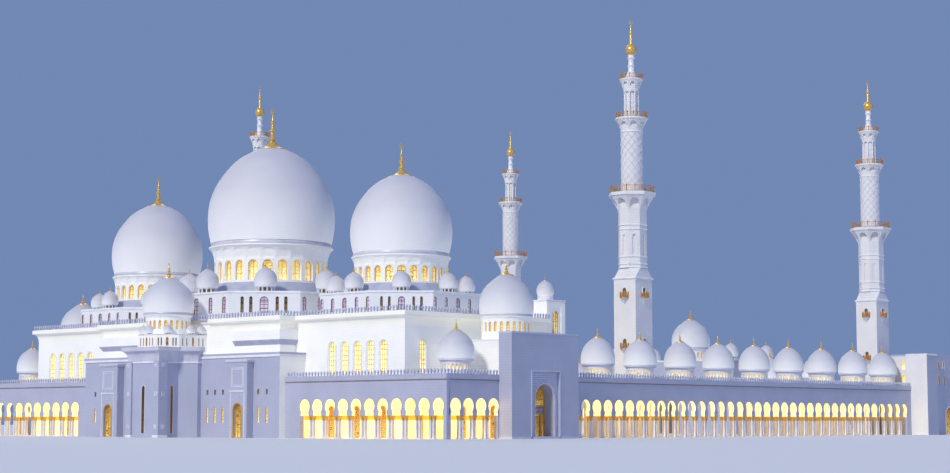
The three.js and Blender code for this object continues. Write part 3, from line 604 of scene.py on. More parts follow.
def glowBand(inner, outer, low, high, segments, material):
    # closed ring of lit glass that stands behind the drum's windows
    ring = lathe([(inner, low), (outer, low), (outer, high), (inner, high)], segments, closed=True)
    markHeight(ring, low, high)
    return finish(ring, material)


def markHeight(thing, low, high):
    # each point's height as a share, for the materials that fade upwards
    share = thing.data.attributes.new("heightShare", "FLOAT", "POINT")
    share.data.foreach_set("value", [(v.co.z - low) / (high - low) for v in thing.data.vertices])


def ringBand(dome, segments):
    # rounded grey-lilac course between drum and dome
    radius = dome["ringWidth"] / 2
    low = dome["drumTop"]
    high = dome["ring"]
    middle = (low + high) / 2
    inside = radius - 1.2 * dome["trim"]
    profile = [(inside, low), (radius - 0.1 * dome["trim"], low), (radius + 0.08 * dome["trim"], middle),
               (radius - 0.1 * dome["trim"], high), (inside, high)]
    return finish(lathe(profile, segments, closed=True), ringMarble if dome["ringWidth"] > 10 else trimMarble)


def windowBars(half, sill, head, depth, rails=2, uprights=1, width=0.12):
    # frame and glazing bars, on the plane x = 0, pushed out by depth
    frameRing = hollowFrame([(0, u, z) for u, z in archOutline(half, sill, head, 8)], width, (depth, 0, 0))
    parts = [frameRing]
    for i in range(rails):
        z = sill + (head - sill) * (i + 1) / (rails + 1)
        reach = half if z < head - half else math.sqrt(max(0.0, half ** 2 - (z - head + half) ** 2))
        parts.append(block(0, depth * 0.8, -reach + width * 0.5, reach - width * 0.5,
                           z - width / 3, z + width / 3))
    for i in range(uprights):
        y = -half + 2 * half * (i + 1) / (uprights + 1)
        parts.append(block(0, depth * 0.8, y - width / 3, y + width / 3, sill + width * 0.5, head - width * 0.5))
    return joined(*parts)


def drumGlazing(dome):
    radius = dome["drum"] / 2 - dome["wall"] * 0.5
    bars = windowBars(dome["windowWidth"] / 2, dome["sill"], dome["head"], 0.14)
    bars.data.transform(shift(radius, 0, 0))
    return finish(spread(bars, around(0, 0, dome["windows"])), gilding)


greatDomes = [
    {"name": "main", "y": 0.0, "width": 32.6, "drum": 28.9, "foot": 38.5, "drumTop": 48.1, "lip": 31.9,
     "ring": 49.2, "ringWidth": 30.7, "widest": 55.3, "brim": 73.8, "brimWidth": 7.7, "tip": 84.8,
     "sill": 39.1, "head": 44.2, "windowWidth": 2.55, "hollow": (44.6, 47.3), "hollowWidth": 3.2,
     "flare": 43.6, "windows": 24, "wall": 1.9, "shell": 0.8, "trim": 1.0, "flareSteps": 8, "shape": "great",
     "terraceHalf": 24.4, "terraceFace": 12.0, "terraceTop": 35.35, "skirt": 2.6,
     "smallRing": 20.9, "smallWidth": 5.7, "slits": (3.2, 5.3), "lights": (5.5, 10.6)},
    {"name": "south", "y": -47.0, "width": 24.6, "drum": 22.5, "foot": 36.2, "drumTop": 43.0, "lip": 24.0,
     "ring": 43.9, "ringWidth": 23.2, "widest": 48.9, "brim": 62.7, "brimWidth": 5.9, "tip": 70.8,
     "sill": 36.6, "head": 40.4, "windowWidth": 1.95, "hollow": (40.7, 42.55), "hollowWidth": 2.45,
     "flare": 39.9, "windows": 24, "wall": 1.6, "shell": 0.8, "trim": 0.9, "flareSteps": 8, "shape": "great",
     "terraceHalf": 18.7, "terraceFace": 8.4, "terraceTop": 33.7, "skirt": 2.2,
     "smallRing": 15.6, "smallWidth": 4.5, "slits": (2.8, 4.6), "lights": (4.0, 7.7)},
]
greatDomes.append({**greatDomes[1], "name": "north", "y": 47.0})


def smallDomeUnit(width, foot, columns=12, rise=0.22):
    # onion dome on a ring of short columns, with its finial: corners of the terraces
    dome = {"width": width, "brimWidth": width * 0.25, "ring": foot + width * rise, "widest": foot + width * 0.5,
            "brim": foot + width * 1.06, "tip": foot + width * 1.34, "shell": 0.15}
    shell = shellShape(dome, 28, 11, smallDomeMarble)
    ring, base = dome["ring"], width * 0.43
    low = lathe([(0, foot - 0.1), (base, foot - 0.1), (base, foot + width * 0.03), (0, foot + width * 0.03)], 28)
    high = lathe([(0, ring - width * 0.05), (base, ring - width * 0.05), (base * 1.03, ring - width * 0.02),
                  (base, ring + width * 0.01), (0, ring + width * 0.01)], 28)
    core = lathe([(0, foot), (base * 0.66, foot), (base * 0.66, ring), (0, ring)], 12)
    post = lathe([(0, foot), (width * 0.045, foot), (width * 0.035, foot + width * 0.1),
                  (width * 0.045, ring - width * 0.04), (0, ring - width * 0.04)], 6)
    post.data.transform(shift(base * 0.9, 0, 0))
    posts = spread(post, around(0, 0, columns, math.pi / columns))
    rings = finish(joined(low, high, posts), trimMarble)
    return joined(shell, rings, finish(core, darkGlass), finialShape(dome, 12))


def domeUnit(dome, segments, steps, bars=False, finial=True):
    # shell, ring, windowed drum, lit glass and finial of one medium dome
    shell = shellShape(dome, segments, steps, smallDomeMarble)
    inside = dome["drum"] / 2 - dome["wall"]
    parts = [shell, ringBand(dome, segments), drumShape(dome, segments),
             glowBand(inside - 0.2, inside + dome["wall"] * 0.4, dome["sill"] - 0.3, dome["head"] + 0.3,
                      segments, goldGlass)]
    if finial:
        parts.append(finialShape(dome, 16))
    if bars:
        parts.append(drumGlazing(dome))
    return joined(*parts)


for dome in greatDomes:
    here = shift(0, dome["y"], 0)
    shell = shellShape(dome, 96, 30, domeMarble)
    band = ringBand(dome, 96)
    crown = joined(shell, band)
    crown.data.transform(here)
    settle(crown, dome["name"] + "DomeShell", replaced=dome["name"] + "_dome")
    finial = finialShape(dome, 32)
    finial.data.transform(here)
    settle(finial, dome["name"] + "GildedFinial", replaced=dome["name"] + "_finial")
print("great domes made")


# Terraces, drums and small domes

levels = {"hallRoof": 28.4, "arcadeRoof": 13.9, "arcadeWallTop": 12.9}


def windowUnit(half, sill, head, glassMaterial, barMaterial, rails=2, uprights=1, deep=0.4):
    # glass, frame and bars, set back from the wall plane x = 0, facing +x
    glass = archBlock(half, sill, head, -deep - 0.08, -deep)
    markHeight(glass, sill, head)
    finish(glass, glassMaterial)
    bars = windowBars(half, sill, head, 0.16, rails, uprights, width=min(0.14, half * 0.25))
    bars.data.transform(shift(-deep, 0, 0))
    return joined(glass, finish(bars, barMaterial))


def terraceWindowPlaces(dome):
    # on the square's faces and on its cut corners
    faces = [(angle, dome["terraceHalf"]) for angle in (0, 90, 180, 270)]
    cutDistance = (dome["terraceHalf"] + dome["terraceFace"]) / math.sqrt(2)
    corners = [(angle, cutDistance) for angle in (45, 135, 225, 315)]
    wide = [(a, d, 0.0) for a, d in faces + corners]
    lights = [(a, d, sign * u) for a, d in faces for u in dome["lights"] for sign in (-1, 1)]
    slits = [(a, d, sign * u) for a, d in corners for u in dome["slits"] for sign in (-1, 1)]
    return wide, lights, slits


def terraceShape(dome):
    half, face, top = dome["terraceHalf"], dome["terraceFace"], dome["terraceTop"]
    roofLevel = levels["hallRoof"]
    octagon = [(half, -face), (half, face), (face, half), (-face, half),
               (-half, face), (-half, -face), (-face, -half), (face, -half)]
    walls = hollowFrame([(x, y, roofLevel) for x, y in octagon], 1.0, (0, 0, top - 0.5 - roofLevel))
    sill, head = top - 5.2, top - 1.25
    widths = (dome["windowWidth"] * 0.41, dome["windowWidth"] * 0.3, dome["windowWidth"] * 0.155)
    cutters = []
    units = []
    for half, places, glass in zip(widths, terraceWindowPlaces(dome), (plumGlass, plumGlass, darkGlass)):
        spots = [facing(0, 0, *place) for place in places]
        cutters.append(spread(archBlock(half, sill, head, -3, 1), spots))
        unit = windowUnit(half, sill, head, glass, frameBronze, 3, 1 if half > 0.6 else 0, 0.3)
        units.append(spread(unit, spots))
    finish(cutBy(walls, joined(*cutters)), terraceMarble)
    inset = [(x * 0.985, y * 0.985) for x, y in octagon]
    roof = finish(slab(inset, top - 0.8, top - 0.02), skirtLead)
    lip = finish(moulding(octagon, [(-0.9, top - 0.5), (0.06, top - 0.5), (0.2, top - 0.35), (0.2, top - 0.12),
                                    (0.08, top + 0.1), (-0.9, top + 0.1)], closed=True), trimMarble)
    foot = finish(moulding(octagon, [(-0.4, roofLevel), (0.25, roofLevel), (0.25, roofLevel + 0.6),
                                     (0.05, roofLevel + 0.8), (-0.4, roofLevel + 0.8)], closed=True), trimMarble)
    return joined(walls, roof, lip, foot, *units)


def drumSkirt(dome):
    # sloping roof between the terrace and the drum
    radius, top, foot, skirt = dome["drum"] / 2, dome["terraceTop"], dome["foot"], dome["skirt"]
    profile = [(radius - 0.4, top - 0.3), (radius + skirt, top - 0.3), (radius + skirt, top + 0.1),
               (radius + skirt * 0.45, top + (foot - top) * 0.7), (radius + 0.05, foot + 0.1),
               (radius - 0.4, foot + 0.1)]
    return finish(lathe(profile, 48, closed=True), skirtLead)


for dome in greatDomes:
    here = shift(0, dome["y"], 0)
    inside = dome["drum"] / 2 - dome["wall"]
    drum = drumShape(dome, 96)
    glow = glowBand(inside - 0.3, inside + dome["wall"] * 0.45, dome["sill"] - 0.3, dome["head"] + 0.3, 96,
                    goldGlass)
    drumAll = joined(drum, drumSkirt(dome), glow, drumGlazing(dome))
    drumAll.data.transform(here)
    settle(drumAll, dome["name"] + "Drum")
    terrace = terraceShape(dome)
    terrace.data.transform(here)
    settle(terrace, dome["name"] + "Terrace", replaced=dome["name"] + "_terrace")
    small = smallDomeUnit(dome["smallWidth"], dome["terraceTop"], rise=0.26)
    small.data.transform(shift(dome["smallRing"], 0, 0))
    ring = spread(small, around(0, dome["y"], 8))
    settle(ring, dome["name"] + "TerraceDomes")
print("terraces made")


# Roofs and domes of the arcades

portalSize = {"half": 11.5, "front": 92.4, "back": 88.6, "top": 23.5, "hallHalf": 9.5, "hallTop": 22.0,
              "panelHalf": 4.75, "panelTop": 14.8, "recess": 0.6, "archHalf": 3.25, "archTop": 12.1}
arcadeSize = {"side": 88.6, "inner": 75.65, "wall": 1.0, "west": -28.2, "eaves": 0.2, "bay": 16.65,
              "firstDome": 16.55, "domeLine": 80.7, "domes": 10, "eastDomeX": 183.2,
              "eastDomeYs": (30.7, 47.35, 64.0), "eastInner": 179.25, "eastOuter": 192.0}
hallSize = {"west": -22.0, "east": 34.0, "side": 70.0, "frontWest": -27.0, "frontSide": 34.0, "towerWest": 27.0,
            "towerSide": 6.9, "westFront": -30.0, "westFrontSide": 37.4}
pavilionSize = {"west": 168.5, "innerWest": 171.5, "east": 199.5, "front": 94.0, "recess": 92.5,
                "shoulder": 87.2, "back": 77.0, "lip": 22.9}
gateSize = {"west": 170.7, "east": 191.0, "front": 195.8, "side": 25.2, "top": 23.5, "lip": 23.0, "ceiling": 22.0,
            "archHalf": 4.0, "archTop": 10.5, "rim": 0.35, "cornerXs": (173.2, 193.2), "cornerY": 22.7,
            "cornerWidth": 4.7}
rowDome = {"width": 8.3, "brimWidth": 2.1, "drum": 7.0, "foot": 13.8, "drumTop": 17.35, "lip": 8.1, "ring": 17.65,
           "ringWidth": 8.2, "widest": 18.3, "brim": 23.8, "tip": 26.3, "sill": 14.9, "head": 16.4,
           "windowWidth": 0.46, "flare": 16.6, "windows": 24, "wall": 0.5, "shell": 0.25, "trim": 0.45,
           "flareSteps": 4}
entranceDome = {"width": 12.5, "brimWidth": 3.1, "drum": 11.3, "foot": 21.9, "drumTop": 27.45, "lip": 12.1,
                "ring": 27.95, "ringWidth": 12.1, "widest": 29.9, "brim": 37.0, "tip": 40.2, "sill": 24.0,
                "head": 26.2, "windowWidth": 0.75, "flare": 26.5, "windows": 24, "wall": 0.8, "shell": 0.4,
                "trim": 0.6, "flareSteps": 5, "shape": "middle"}
nicheDome = {**entranceDome, "drum": 10.9, "foot": 24.6, "drumTop": 29.45, "lip": 11.9, "ring": 30.05,
             "ringWidth": 12.0, "widest": 32.0, "brim": 38.6, "tip": 42.4, "sill": 26.0, "head": 28.1,
             "flare": 28.4}
gateDome = {**entranceDome, "width": 12.6, "foot": 23.4, "sill": 24.4, "head": 26.3}


def arcadeDomes(places):
    unit = domeUnit(rowDome, 40, 14)
    return spread(unit, [shift(x, y, 0) for x, y in places])


def roofPlate(outline):
    return finish(slab(outline, levels["arcadeWallTop"], levels["arcadeRoof"]), lowShadeMarble)


# where the lit faces of the galleries lie, just clear of the walls behind them
gallerySize = {"west": -27.15, "hallWest": -22.1, "hall": -70.1, "portal": 9.6, "outer": -87.55, "front": -37.5,
               "hallEast": 34.1, "sideInner": -76.7, "sideEast": 168.4}


def ceiling(*boxes):
    # lit face under the roof slab, as boxes (x0, x1, y0, y1)
    low, high = levels["arcadeWallTop"] - 0.06, levels["arcadeWallTop"] - 0.01
    return finish(joined(*[block(*box, low, high) for box in boxes]), galleryDeep)


p, a, h, v = portalSize, arcadeSize, hallSize, pavilionSize
side = a["side"] + a["eaves"]
westRoofOutline = [(a["west"] - a["eaves"], -side), (-p["half"], -side), (-p["half"], -p["back"]),
                   (-p["hallHalf"], -p["back"]), (-p["hallHalf"], -h["side"]), (h["west"], -h["side"]),
                   (h["west"], -h["westFrontSide"] - 0.2), (a["west"] - a["eaves"], -h["westFrontSide"] - 0.2)]
sideRoofOutline = [(p["half"], -side), (v["west"], -side), (v["west"], -v["shoulder"]),
                   (v["innerWest"], -v["shoulder"]), (v["innerWest"], -a["inner"]), (h["east"], -a["inner"]),
                   (h["east"], -h["side"]),
                   (p["hallHalf"], -h["side"]), (p["hallHalf"], -p["back"]), (p["half"], -p["back"])]
inner, outer = a["eastInner"], a["eastOuter"]
eastRoofOutline = [(inner, -v["back"]), (outer + a["eaves"], -v["back"]), (outer + a["eaves"], -gateSize["side"]),
                   (inner + 1, -gateSize["side"]), (inner + 1, gateSize["side"]),
                   (outer + a["eaves"], gateSize["side"]), (outer + a["eaves"], v["back"]), (inner, v["back"])]


def bothSides(thing, name, replaced=None):
    # the piece as it stands on the south side, and its mirror image on the north side
    twin = copyOf(thing, sideways)
    settle(thing, name, replaced)
    settle(twin, name.replace("south", "north"), replaced and replaced.replace("south", "north"))


westDomeX = a["firstDome"] - 2 * a["bay"]
bothSides(joined(roofPlate(westRoofOutline), arcadeDomes([(westDomeX, -a["domeLine"])])),
          "southwestArcadeRoof", "southwest_arcade_roof")
sideDomes = [(a["firstDome"] + a["bay"] * i, -a["domeLine"]) for i in range(a["domes"])]
bothSides(joined(roofPlate(sideRoofOutline), arcadeDomes(sideDomes)),
          "southArcadeRoof", "south_arcade_roof")
eastDomes = [(a["eastDomeX"], sign * y) for y in a["eastDomeYs"] for sign in (-1, 1)]
settle(joined(roofPlate(eastRoofOutline), arcadeDomes(eastDomes)), "eastArcadeRoof", "east_roof")
portal, outer, hallFace = gallerySize["portal"], gallerySize["outer"], gallerySize["hall"]
bothSides(ceiling((gallerySize["west"], gallerySize["hallWest"], outer, gallerySize["front"]),
                  (gallerySize["hallWest"], -portal, outer, hallFace)), "southwestGalleryCeiling")
bothSides(ceiling((portal, gallerySize["hallEast"], outer, hallFace),
                  (gallerySize["hallEast"], gallerySize["sideEast"], outer, gallerySize["sideInner"])),
          "southGalleryCeiling")
bothSides(ceiling((180.3, 190.95, -76.9, -25.3)), "southeastGalleryCeiling")

entrance = domeUnit(entranceDome, 64, 20, bars=True)
entrance.data.transform(shift(0, -a["domeLine"], 0))
bothSides(entrance, "southPortalDome", "south_portal_dome")
print("arcade domes made")


# Arcade walls

archSize = {"waist": 1.24, "pinch": 6.0, "foot": 5.1, "splay": 1.42, "belly": 1.66, "bellyTop": 7.15, "top": 8.85,
            "courtHalf": 1.5, "courtSpring": 6.9, "courtTop": 9.1, "band": 0.22, "bandReach": 0.08}
columnSize = {"plinth": 0.2, "foot": 0.3, "shaft": 0.23, "capital": 4.05, "top": 4.95, "apart": 0.46,
              "across": 0.27}


def horseshoeCurve():
    # keyhole arch: splayed foot, pinched waist, round belly, slightly pointed head
    s = archSize
    low = math.acos(s["waist"] / s["belly"])
    below = (s["bellyTop"] - s["pinch"]) / math.sin(low)
    points = [(-s["splay"], s["foot"]), (-s["waist"] - 0.09, s["foot"] + 0.4)]
    for i in range(13):
        angle = math.pi + low - (math.pi + 2 * low) * i / 12
        rise = s["top"] - s["bellyTop"] if math.sin(angle) > 0 else below
        points.append((s["belly"] * math.cos(angle), s["bellyTop"] + rise * math.sin(angle)))
    return points + [(-u, z) for u, z in points[1::-1]]


def courtCurve():
    # flattened round arch of the courtyard side
    s = archSize
    rise = s["courtTop"] - s["courtSpring"]
    head = [(-s["courtHalf"] * math.cos(t) ** 0.9, s["courtSpring"] + rise * math.sin(t) ** 0.85)
            for t in [math.pi / 2 * i / 5 for i in range(6)]]
    left = [(-s["courtHalf"], s["foot"])] + head
    return left + [(-u, z) for u, z in left[-2::-1]]


def widened(curve, by):
    # the curve moved outwards along its own normals
    result = []
    for i, (u, z) in enumerate(curve):
        before = curve[max(i - 1, 0)]
        after = curve[min(i + 1, len(curve) - 1)]
        way = Vector((after[0] - before[0], after[1] - before[1])).normalized()
        result.append((u - way.y * by, z + way.x * by))
    return result


def archedWall(start, end, first, step, count, curve):
    # wall above the columns, facing +x, with one arch for each step along y
    foot, top = archSize["foot"], levels["arcadeWallTop"]
    chain = drawLine([(0, first - step / 2, foot)] + [(0, first + u, z) for u, z in curve]
                     + [(0, first + step / 2, foot)])
    row(chain, count, (0, step, 0))
    left, right = first - step / 2, first + step * (count - 0.5)
    rest = drawLine([(0, right, foot), (0, end, foot), (0, end, top), (0, start, top), (0, start, foot),
                     (0, left, foot)])
    wall = joined(chain, rest)
    startEdit(wall)
    bpy.ops.mesh.remove_doubles(threshold=1e-3)
    bpy.ops.mesh.edge_face_add()
    pushOut((-arcadeSize["wall"], 0, 0))
    finish(wall, lowShadeMarble)
    wall.data.materials.append(galleryGlow)
    for face in wall.data.polygons:
        inArch = start + 0.1 < face.center.y < end - 0.1 and foot + 0.01 < face.center.z < top - 0.1
        lit = face.normal.x < -0.5 or (abs(face.normal.x) < 0.5 and inArch)
        face.material_index = 1 if lit else 0
    return wall


def columnPier():
    # four round columns with gilded palm capitals, on a plinth and under a slab
    c = columnSize
    low, high, top = c["plinth"], c["capital"], c["top"]
    shaft = lathe([(0, low), (c["foot"], low), (c["foot"], 0.42), (c["shaft"], 0.62), (c["shaft"] * 0.92, high),
                   (0, high)], 10)
    capital = lathe([(0, high), (0.27, high), (0.3, high + 0.12), (0.24, high + 0.22), (0.3, high + 0.55),
                     (0.42, top - 0.05), (0.42, top), (0, top)], 8)
    column = joined(finish(shaft, trimMarble), finish(capital, gilding))
    spots = [shift(-0.5 + sx * c["across"], sy * c["apart"], 0) for sx in (-1, 1) for sy in (-1, 1)]
    plinth = block(-0.98, -0.02, -0.82, 0.82, 0, low)
    abacus = block(-0.98, -0.02, -0.83, 0.83, top, archSize["foot"])
    return joined(spread(column, spots), finish(plinth, trimMarble), finish(abacus, gilding))


def arcadeRun(angle, distance, start, end, first, step, count, curve):
    # arched wall with its columns, arch bands, gutter line and solid end piers
    parts = [archedWall(start, end, first, step, count, curve)]
    piers = columnPier()
    piers.data.transform(shift(0, first + step / 2, 0))
    parts.append(row(piers, count - 1, (0, step, 0)))
    s = archSize
    band = plate([(0, first + u, z) for u, z in curve + widened(curve, s["band"])[::-1]], (s["bandReach"], 0, 0))
    parts.append(finish(row(band, count, (0, step, 0)), lowShadeMarble))
    footHalf = abs(curve[0][0])
    for low, high in ((start, first - footHalf), (first + step * (count - 1) + footHalf, end)):
        parts.append(finish(block(-arcadeSize["wall"], 0, low, high, 0, s["foot"]), lowShadeMarble))
    line = block(0, 0.1, start, end, levels["arcadeWallTop"] - 0.22, levels["arcadeWallTop"] - 0.01)
    parts.append(finish(line, gutterBronze))
    run = joined(*parts)
    run.data.transform(facing(0, 0, angle, distance))
    return run


outerCurve, innerCurve = horseshoeCurve(), courtCurve()
step = arcadeSize["bay"] / 4
firstArch = arcadeSize["firstDome"] - arcadeSize["bay"] / 8
courtFirst = -(firstArch + step * 36)
eastFirst, westStep, cornerStep, hiddenEnd = 74.4, 4.21, 4.05, 0.3
# the way it faces, its distance, start, end, first arch, spacing, arches and their curve
arcadeWalls = {
    "southArcadeOuterWall": (-90, a["side"], p["half"], v["west"], firstArch, step, 37, outerCurve),
    "southArcadeCourtWall": (90, -a["inner"], -v["innerWest"], -h["east"], courtFirst, step, 31, innerCurve),
    "southwestArcadeFrontWall": (180, -a["west"], h["westFrontSide"], a["side"], 86.2 - westStep * 10, westStep,
                                 11, outerCurve),
    "southwestArcadeSideWall": (-90, a["side"], a["west"] + 1, hiddenEnd - p["half"], -25.45, cornerStep, 4,
                                outerCurve),
}
for name, run in arcadeWalls.items():
    node = "".join("_" + letter.lower() if letter.isupper() else letter for letter in name)
    bothSides(arcadeRun(*run), name, replaced=node)

eastWall = arcadeRun(0, a["eastOuter"], -v["back"], -gateSize["side"], -eastFirst, step, 12, outerCurve)
eastCourt = arcadeRun(180, -a["eastInner"], gateSize["side"], v["back"], eastFirst - step * 11, step, 12,
                      innerCurve)
print("arcade walls made")


# Merlons

merlonSize = {"spacing": 1.02, "thickness": 0.32, "wide": 0.54}
merlonHalf = [(0.36, 0), (0.36, 0.1), (0.17, 0.2), (0.15, 0.42), (0.34, 0.6), (0.31, 0.76), (0.12, 0.93), (0, 1.0)]


def merlonRow(start, end, foot, height):
    # leaf-shaped merlons from start to end, on a low rail
    start, end = Vector(start), Vector(end)
    length = (end - start).length
    count = max(1, round(length / merlonSize["spacing"]))
    spacing = length / count
    outline = [(-u * merlonSize["wide"] * 1.3, z * height) for u, z in merlonHalf]
    outline += [(-u, z) for u, z in outline[-2::-1]]
    merlon = wallAlongY(outline, -merlonSize["thickness"] / 2, merlonSize["thickness"] / 2)
    merlon.data.transform(shift(0, spacing / 2, foot))
    row(merlon, count, (0, spacing, 0))
    rail = block(-0.2, 0.2, 0, length, foot - 0.02, foot + 0.12)
    # merlons and rail are tinted lilac as painted shade
    run = finish(joined(merlon, rail), merlonShadeMarble)
    way = (end - start).normalized()
    turn = math.atan2(-way.x, way.y)
    run.data.transform(shift(start.x, start.y, 0) @ Matrix.Rotation(turn, 4, "Z"))
    return run


line = a["side"] - 0.1
roofLine = 0.95
courtLine = a["inner"] + 0.3
gateEnd = -gateSize["side"]
hallWest, frontWest, hallEast = h["west"] - roofLine, h["frontWest"] - roofLine, h["east"] + roofLine
hallSouth, frontSouth = -h["side"] - roofLine, -h["frontSide"] - roofLine
merlonPaths = {
    "southwestMerlons": [(a["west"] + 0.1, -h["westFrontSide"] - 0.4), (a["west"] + 0.1, -line),
                         (-p["half"], -line)],
    "southMerlons": [(p["half"], -line), (v["west"], -line)],
    "southCourtMerlons": [(h["east"] + 0.6, -courtLine), (v["innerWest"], -courtLine)],
    "southeastMerlons": [(a["eastOuter"] - 0.1, -v["back"]), (a["eastOuter"] - 0.1, gateEnd)],
    "southeastCourtMerlons": [(a["eastInner"] + 0.3, -v["back"]), (a["eastInner"] + 0.3, gateEnd)],
    "southHallMerlons": [(frontWest, 0), (frontWest, frontSouth), (hallWest, frontSouth), (hallWest, hallSouth),
                         (h["towerWest"], hallSouth)],
    "southeastHallMerlons": [(hallEast, 0), (hallEast, h["towerSide"] - h["side"])],
}
for name, path in merlonPaths.items():
    foot, height = (levels["hallRoof"], 1.3) if "Hall" in name else (levels["arcadeRoof"], 1.2)
    bothSides(joined(*[merlonRow(one, two, foot, height) for one, two in zip(path, path[1:])]), name)
print("merlons made")


# Portals

def portalFace(size):
    # gate block facing -y: recessed panel of carved lace round a deep arch with stepped mouldings
    front, back, top, half = size["front"], size["back"], size["top"], size["half"]
    panelHalf, panelTop, recess = size["panelHalf"], size["panelTop"], size["recess"]
    arch = archOutline(size["archHalf"], 0, size["archTop"])
    outer = [(-half, 0), (-panelHalf, 0), (-panelHalf, panelTop), (panelHalf, panelTop), (panelHalf, 0), (half, 0),
             (half, top), (-half, top)]
    inner = [(-half, 0)] + arch + [(half, 0), (half, top), (-half, top)]
    frontPart = finish(wallAlongX(outer, -front, -front + recess), lowShadeMarble)
    backPart = finish(wallAlongX(inner, -front + recess, -back), lowShadeMarble)
    lace = [(-panelHalf + 0.1, 0)] + archOutline(size["archHalf"] + 0.75, 0, size["archTop"] + 0.75)
    lace += [(panelHalf - 0.1, 0), (panelHalf - 0.1, panelTop - 0.1), (-panelHalf + 0.1, panelTop - 0.1)]
    carving = finish(wallAlongX(lace, -front + recess - 0.06, -front + recess + 0.02), panelCarving)
    rims = []
    for grow, width, reach in ((0.0, 0.3, 0.3), (0.42, 0.33, 0.16)):
        inside = archOutline(size["archHalf"] + grow, 0, size["archTop"] + grow)
        outside = archOutline(size["archHalf"] + grow + width, 0, size["archTop"] + grow + width)
        rims.append(wallAlongX(inside + outside[::-1], -front + recess - reach, -front + recess + 0.02))
    edge = 0.28
    border = [(-panelHalf - edge, 0), (-panelHalf - edge, panelTop + edge), (panelHalf + edge, panelTop + edge),
              (panelHalf + edge, 0), (panelHalf, 0), (panelHalf, panelTop), (-panelHalf, panelTop), (-panelHalf, 0)]
    rims.append(wallAlongX(border, -front - 0.1, -front + 0.02))
    rims.append(block(-half - 0.06, half + 0.06, -front - 0.08, -back, top - 0.35, top - 0.02))
    rims.append(block(-half - 0.08, half + 0.08, -front - 0.1, -back, 0, 0.5))
    # the rims and bands are tinted lilac as painted shade
    return joined(frontPart, backPart, carving, *[finish(rim, shadeTintMoulding) for rim in rims])


def portalRoom(size):
    # walls and roof behind the gate block, with doorways into the galleries on both sides
    half, top, back = size["hallHalf"], size["hallTop"], size["back"]
    doorway = archOutline(2.0, 0, 7.0, 10, -arcadeSize["domeLine"])
    outline = [(-back, 0)] + doorway + [(-hallSize["side"], 0), (-hallSize["side"], top), (-back, top)]
    walls = [wallAlongY(outline, *limits) for limits in ((-half, -half + 1), (half - 1, half))]
    roof = block(-half + 1, half - 1, -back, -hallSize["side"], top - 1, top)
    lip = block(-half - 0.06, half + 0.06, -back, -hallSize["side"], top - 0.35, top - 0.02)
    return joined(*[finish(part, wallMarble) for part in walls + [roof]], finish(lip, trimMarble))


southPortal = joined(portalFace(portalSize), portalRoom(portalSize))
bothSides(southPortal, "southPortal", replaced="south_portal")

g = gateSize
cornerDome = smallDomeUnit(g["cornerWidth"], g["top"] - 0.1)
cornerPairs = [spread(copyOf(cornerDome, Matrix.Identity(4)),
                      [shift(x, sign * g["cornerY"], 0) for sign in (-1, 1)]) for x in g["cornerXs"]]
dropped(cornerDome)
eastGateFace = portalFace({**portalSize, "half": g["side"], "front": g["front"], "back": g["east"]})
eastGateFace.data.transform(turned(90))
eastFront = joined(eastWall, copyOf(eastWall, sideways), eastGateFace, cornerPairs[1])
settle(eastFront, "eastFront", replaced="east_front")

gateArch = archOutline(g["archHalf"], 0, g["archTop"])
wideArch = archOutline(g["archHalf"] + g["rim"], 0, g["archTop"] + g["rim"])
gateFoot = [(-g["side"], 0)] + gateArch + [(g["side"], 0)]
courtX, courtTop = a["eastInner"], levels["arcadeWallTop"]
courtGate = wallAlongY(gateFoot + [(g["side"], courtTop), (-g["side"], courtTop)], courtX, courtX + a["wall"])
finish(courtGate, lowShadeMarble)
courtRim = wallAlongY(gateArch + wideArch[::-1], courtX - 0.12, courtX + 0.05)
eastCourtWall = joined(eastCourt, copyOf(eastCourt, sideways), courtGate, finish(courtRim, gilding))
settle(eastCourtWall, "eastCourtWall", replaced="east_court_wall")

west, east, half, top, under = g["west"], g["east"], g["side"], g["top"], g["ceiling"]
gateParts = [wallAlongY(gateFoot + [(half, top), (-half, top)], west, west + 1),
             block(west + 1, east, -half, -half + 1, 0, top), block(west + 1, east, half - 1, half, 0, top),
             block(west + 1, east, -half + 1, half - 1, under, top - 0.1)]
gateLip = moulding([(east, half), (west, half), (west, -half), (east, -half)], lipProfile(g["lip"]))
gateRim = wallAlongY(gateArch + wideArch[::-1], west - 0.15, west + 0.02)
gateGlow = [block(east - 0.15, east - 0.05, *limits, 0, under - 0.1)
            for limits in ((1.1 - half, -3.5), (3.5, half - 1.1))]
gateGlow.append(block(west + 1.1, east - 0.1, 1.1 - half, half - 1.1, under - 0.15, under - 0.05))
gateCrown = domeUnit(gateDome, 64, 20, bars=True)
gateCrown.data.transform(shift(a["eastDomeX"], 0, 0))
gateParts = [finish(part, lowShadeMarble) for part in gateParts] + [finish(part, galleryGlow) for part in gateGlow]
settle(joined(*gateParts, finish(gateLip, trimMarble), finish(gateRim, gilding), gateCrown, cornerPairs[0]),
       "eastGateHall", replaced="east_gate_hall")
print("portals made")


# Gilded screens and door leaves

screenSize = {"half": 3.25, "top": 12.1, "doorHalf": 1.8, "doorTop": 5.2, "front": -89.3, "back": -88.8,
              "frame": 0.32, "ring": 0.16, "friezeFoot": 0.4, "friezeTop": 1.9}
leafSize = {"front": -88.92, "back": -88.80, "low": 0.07, "high": 5.13, "near": 0.035, "far": 1.73, "stile": 0.14,
            "rail": 0.16}


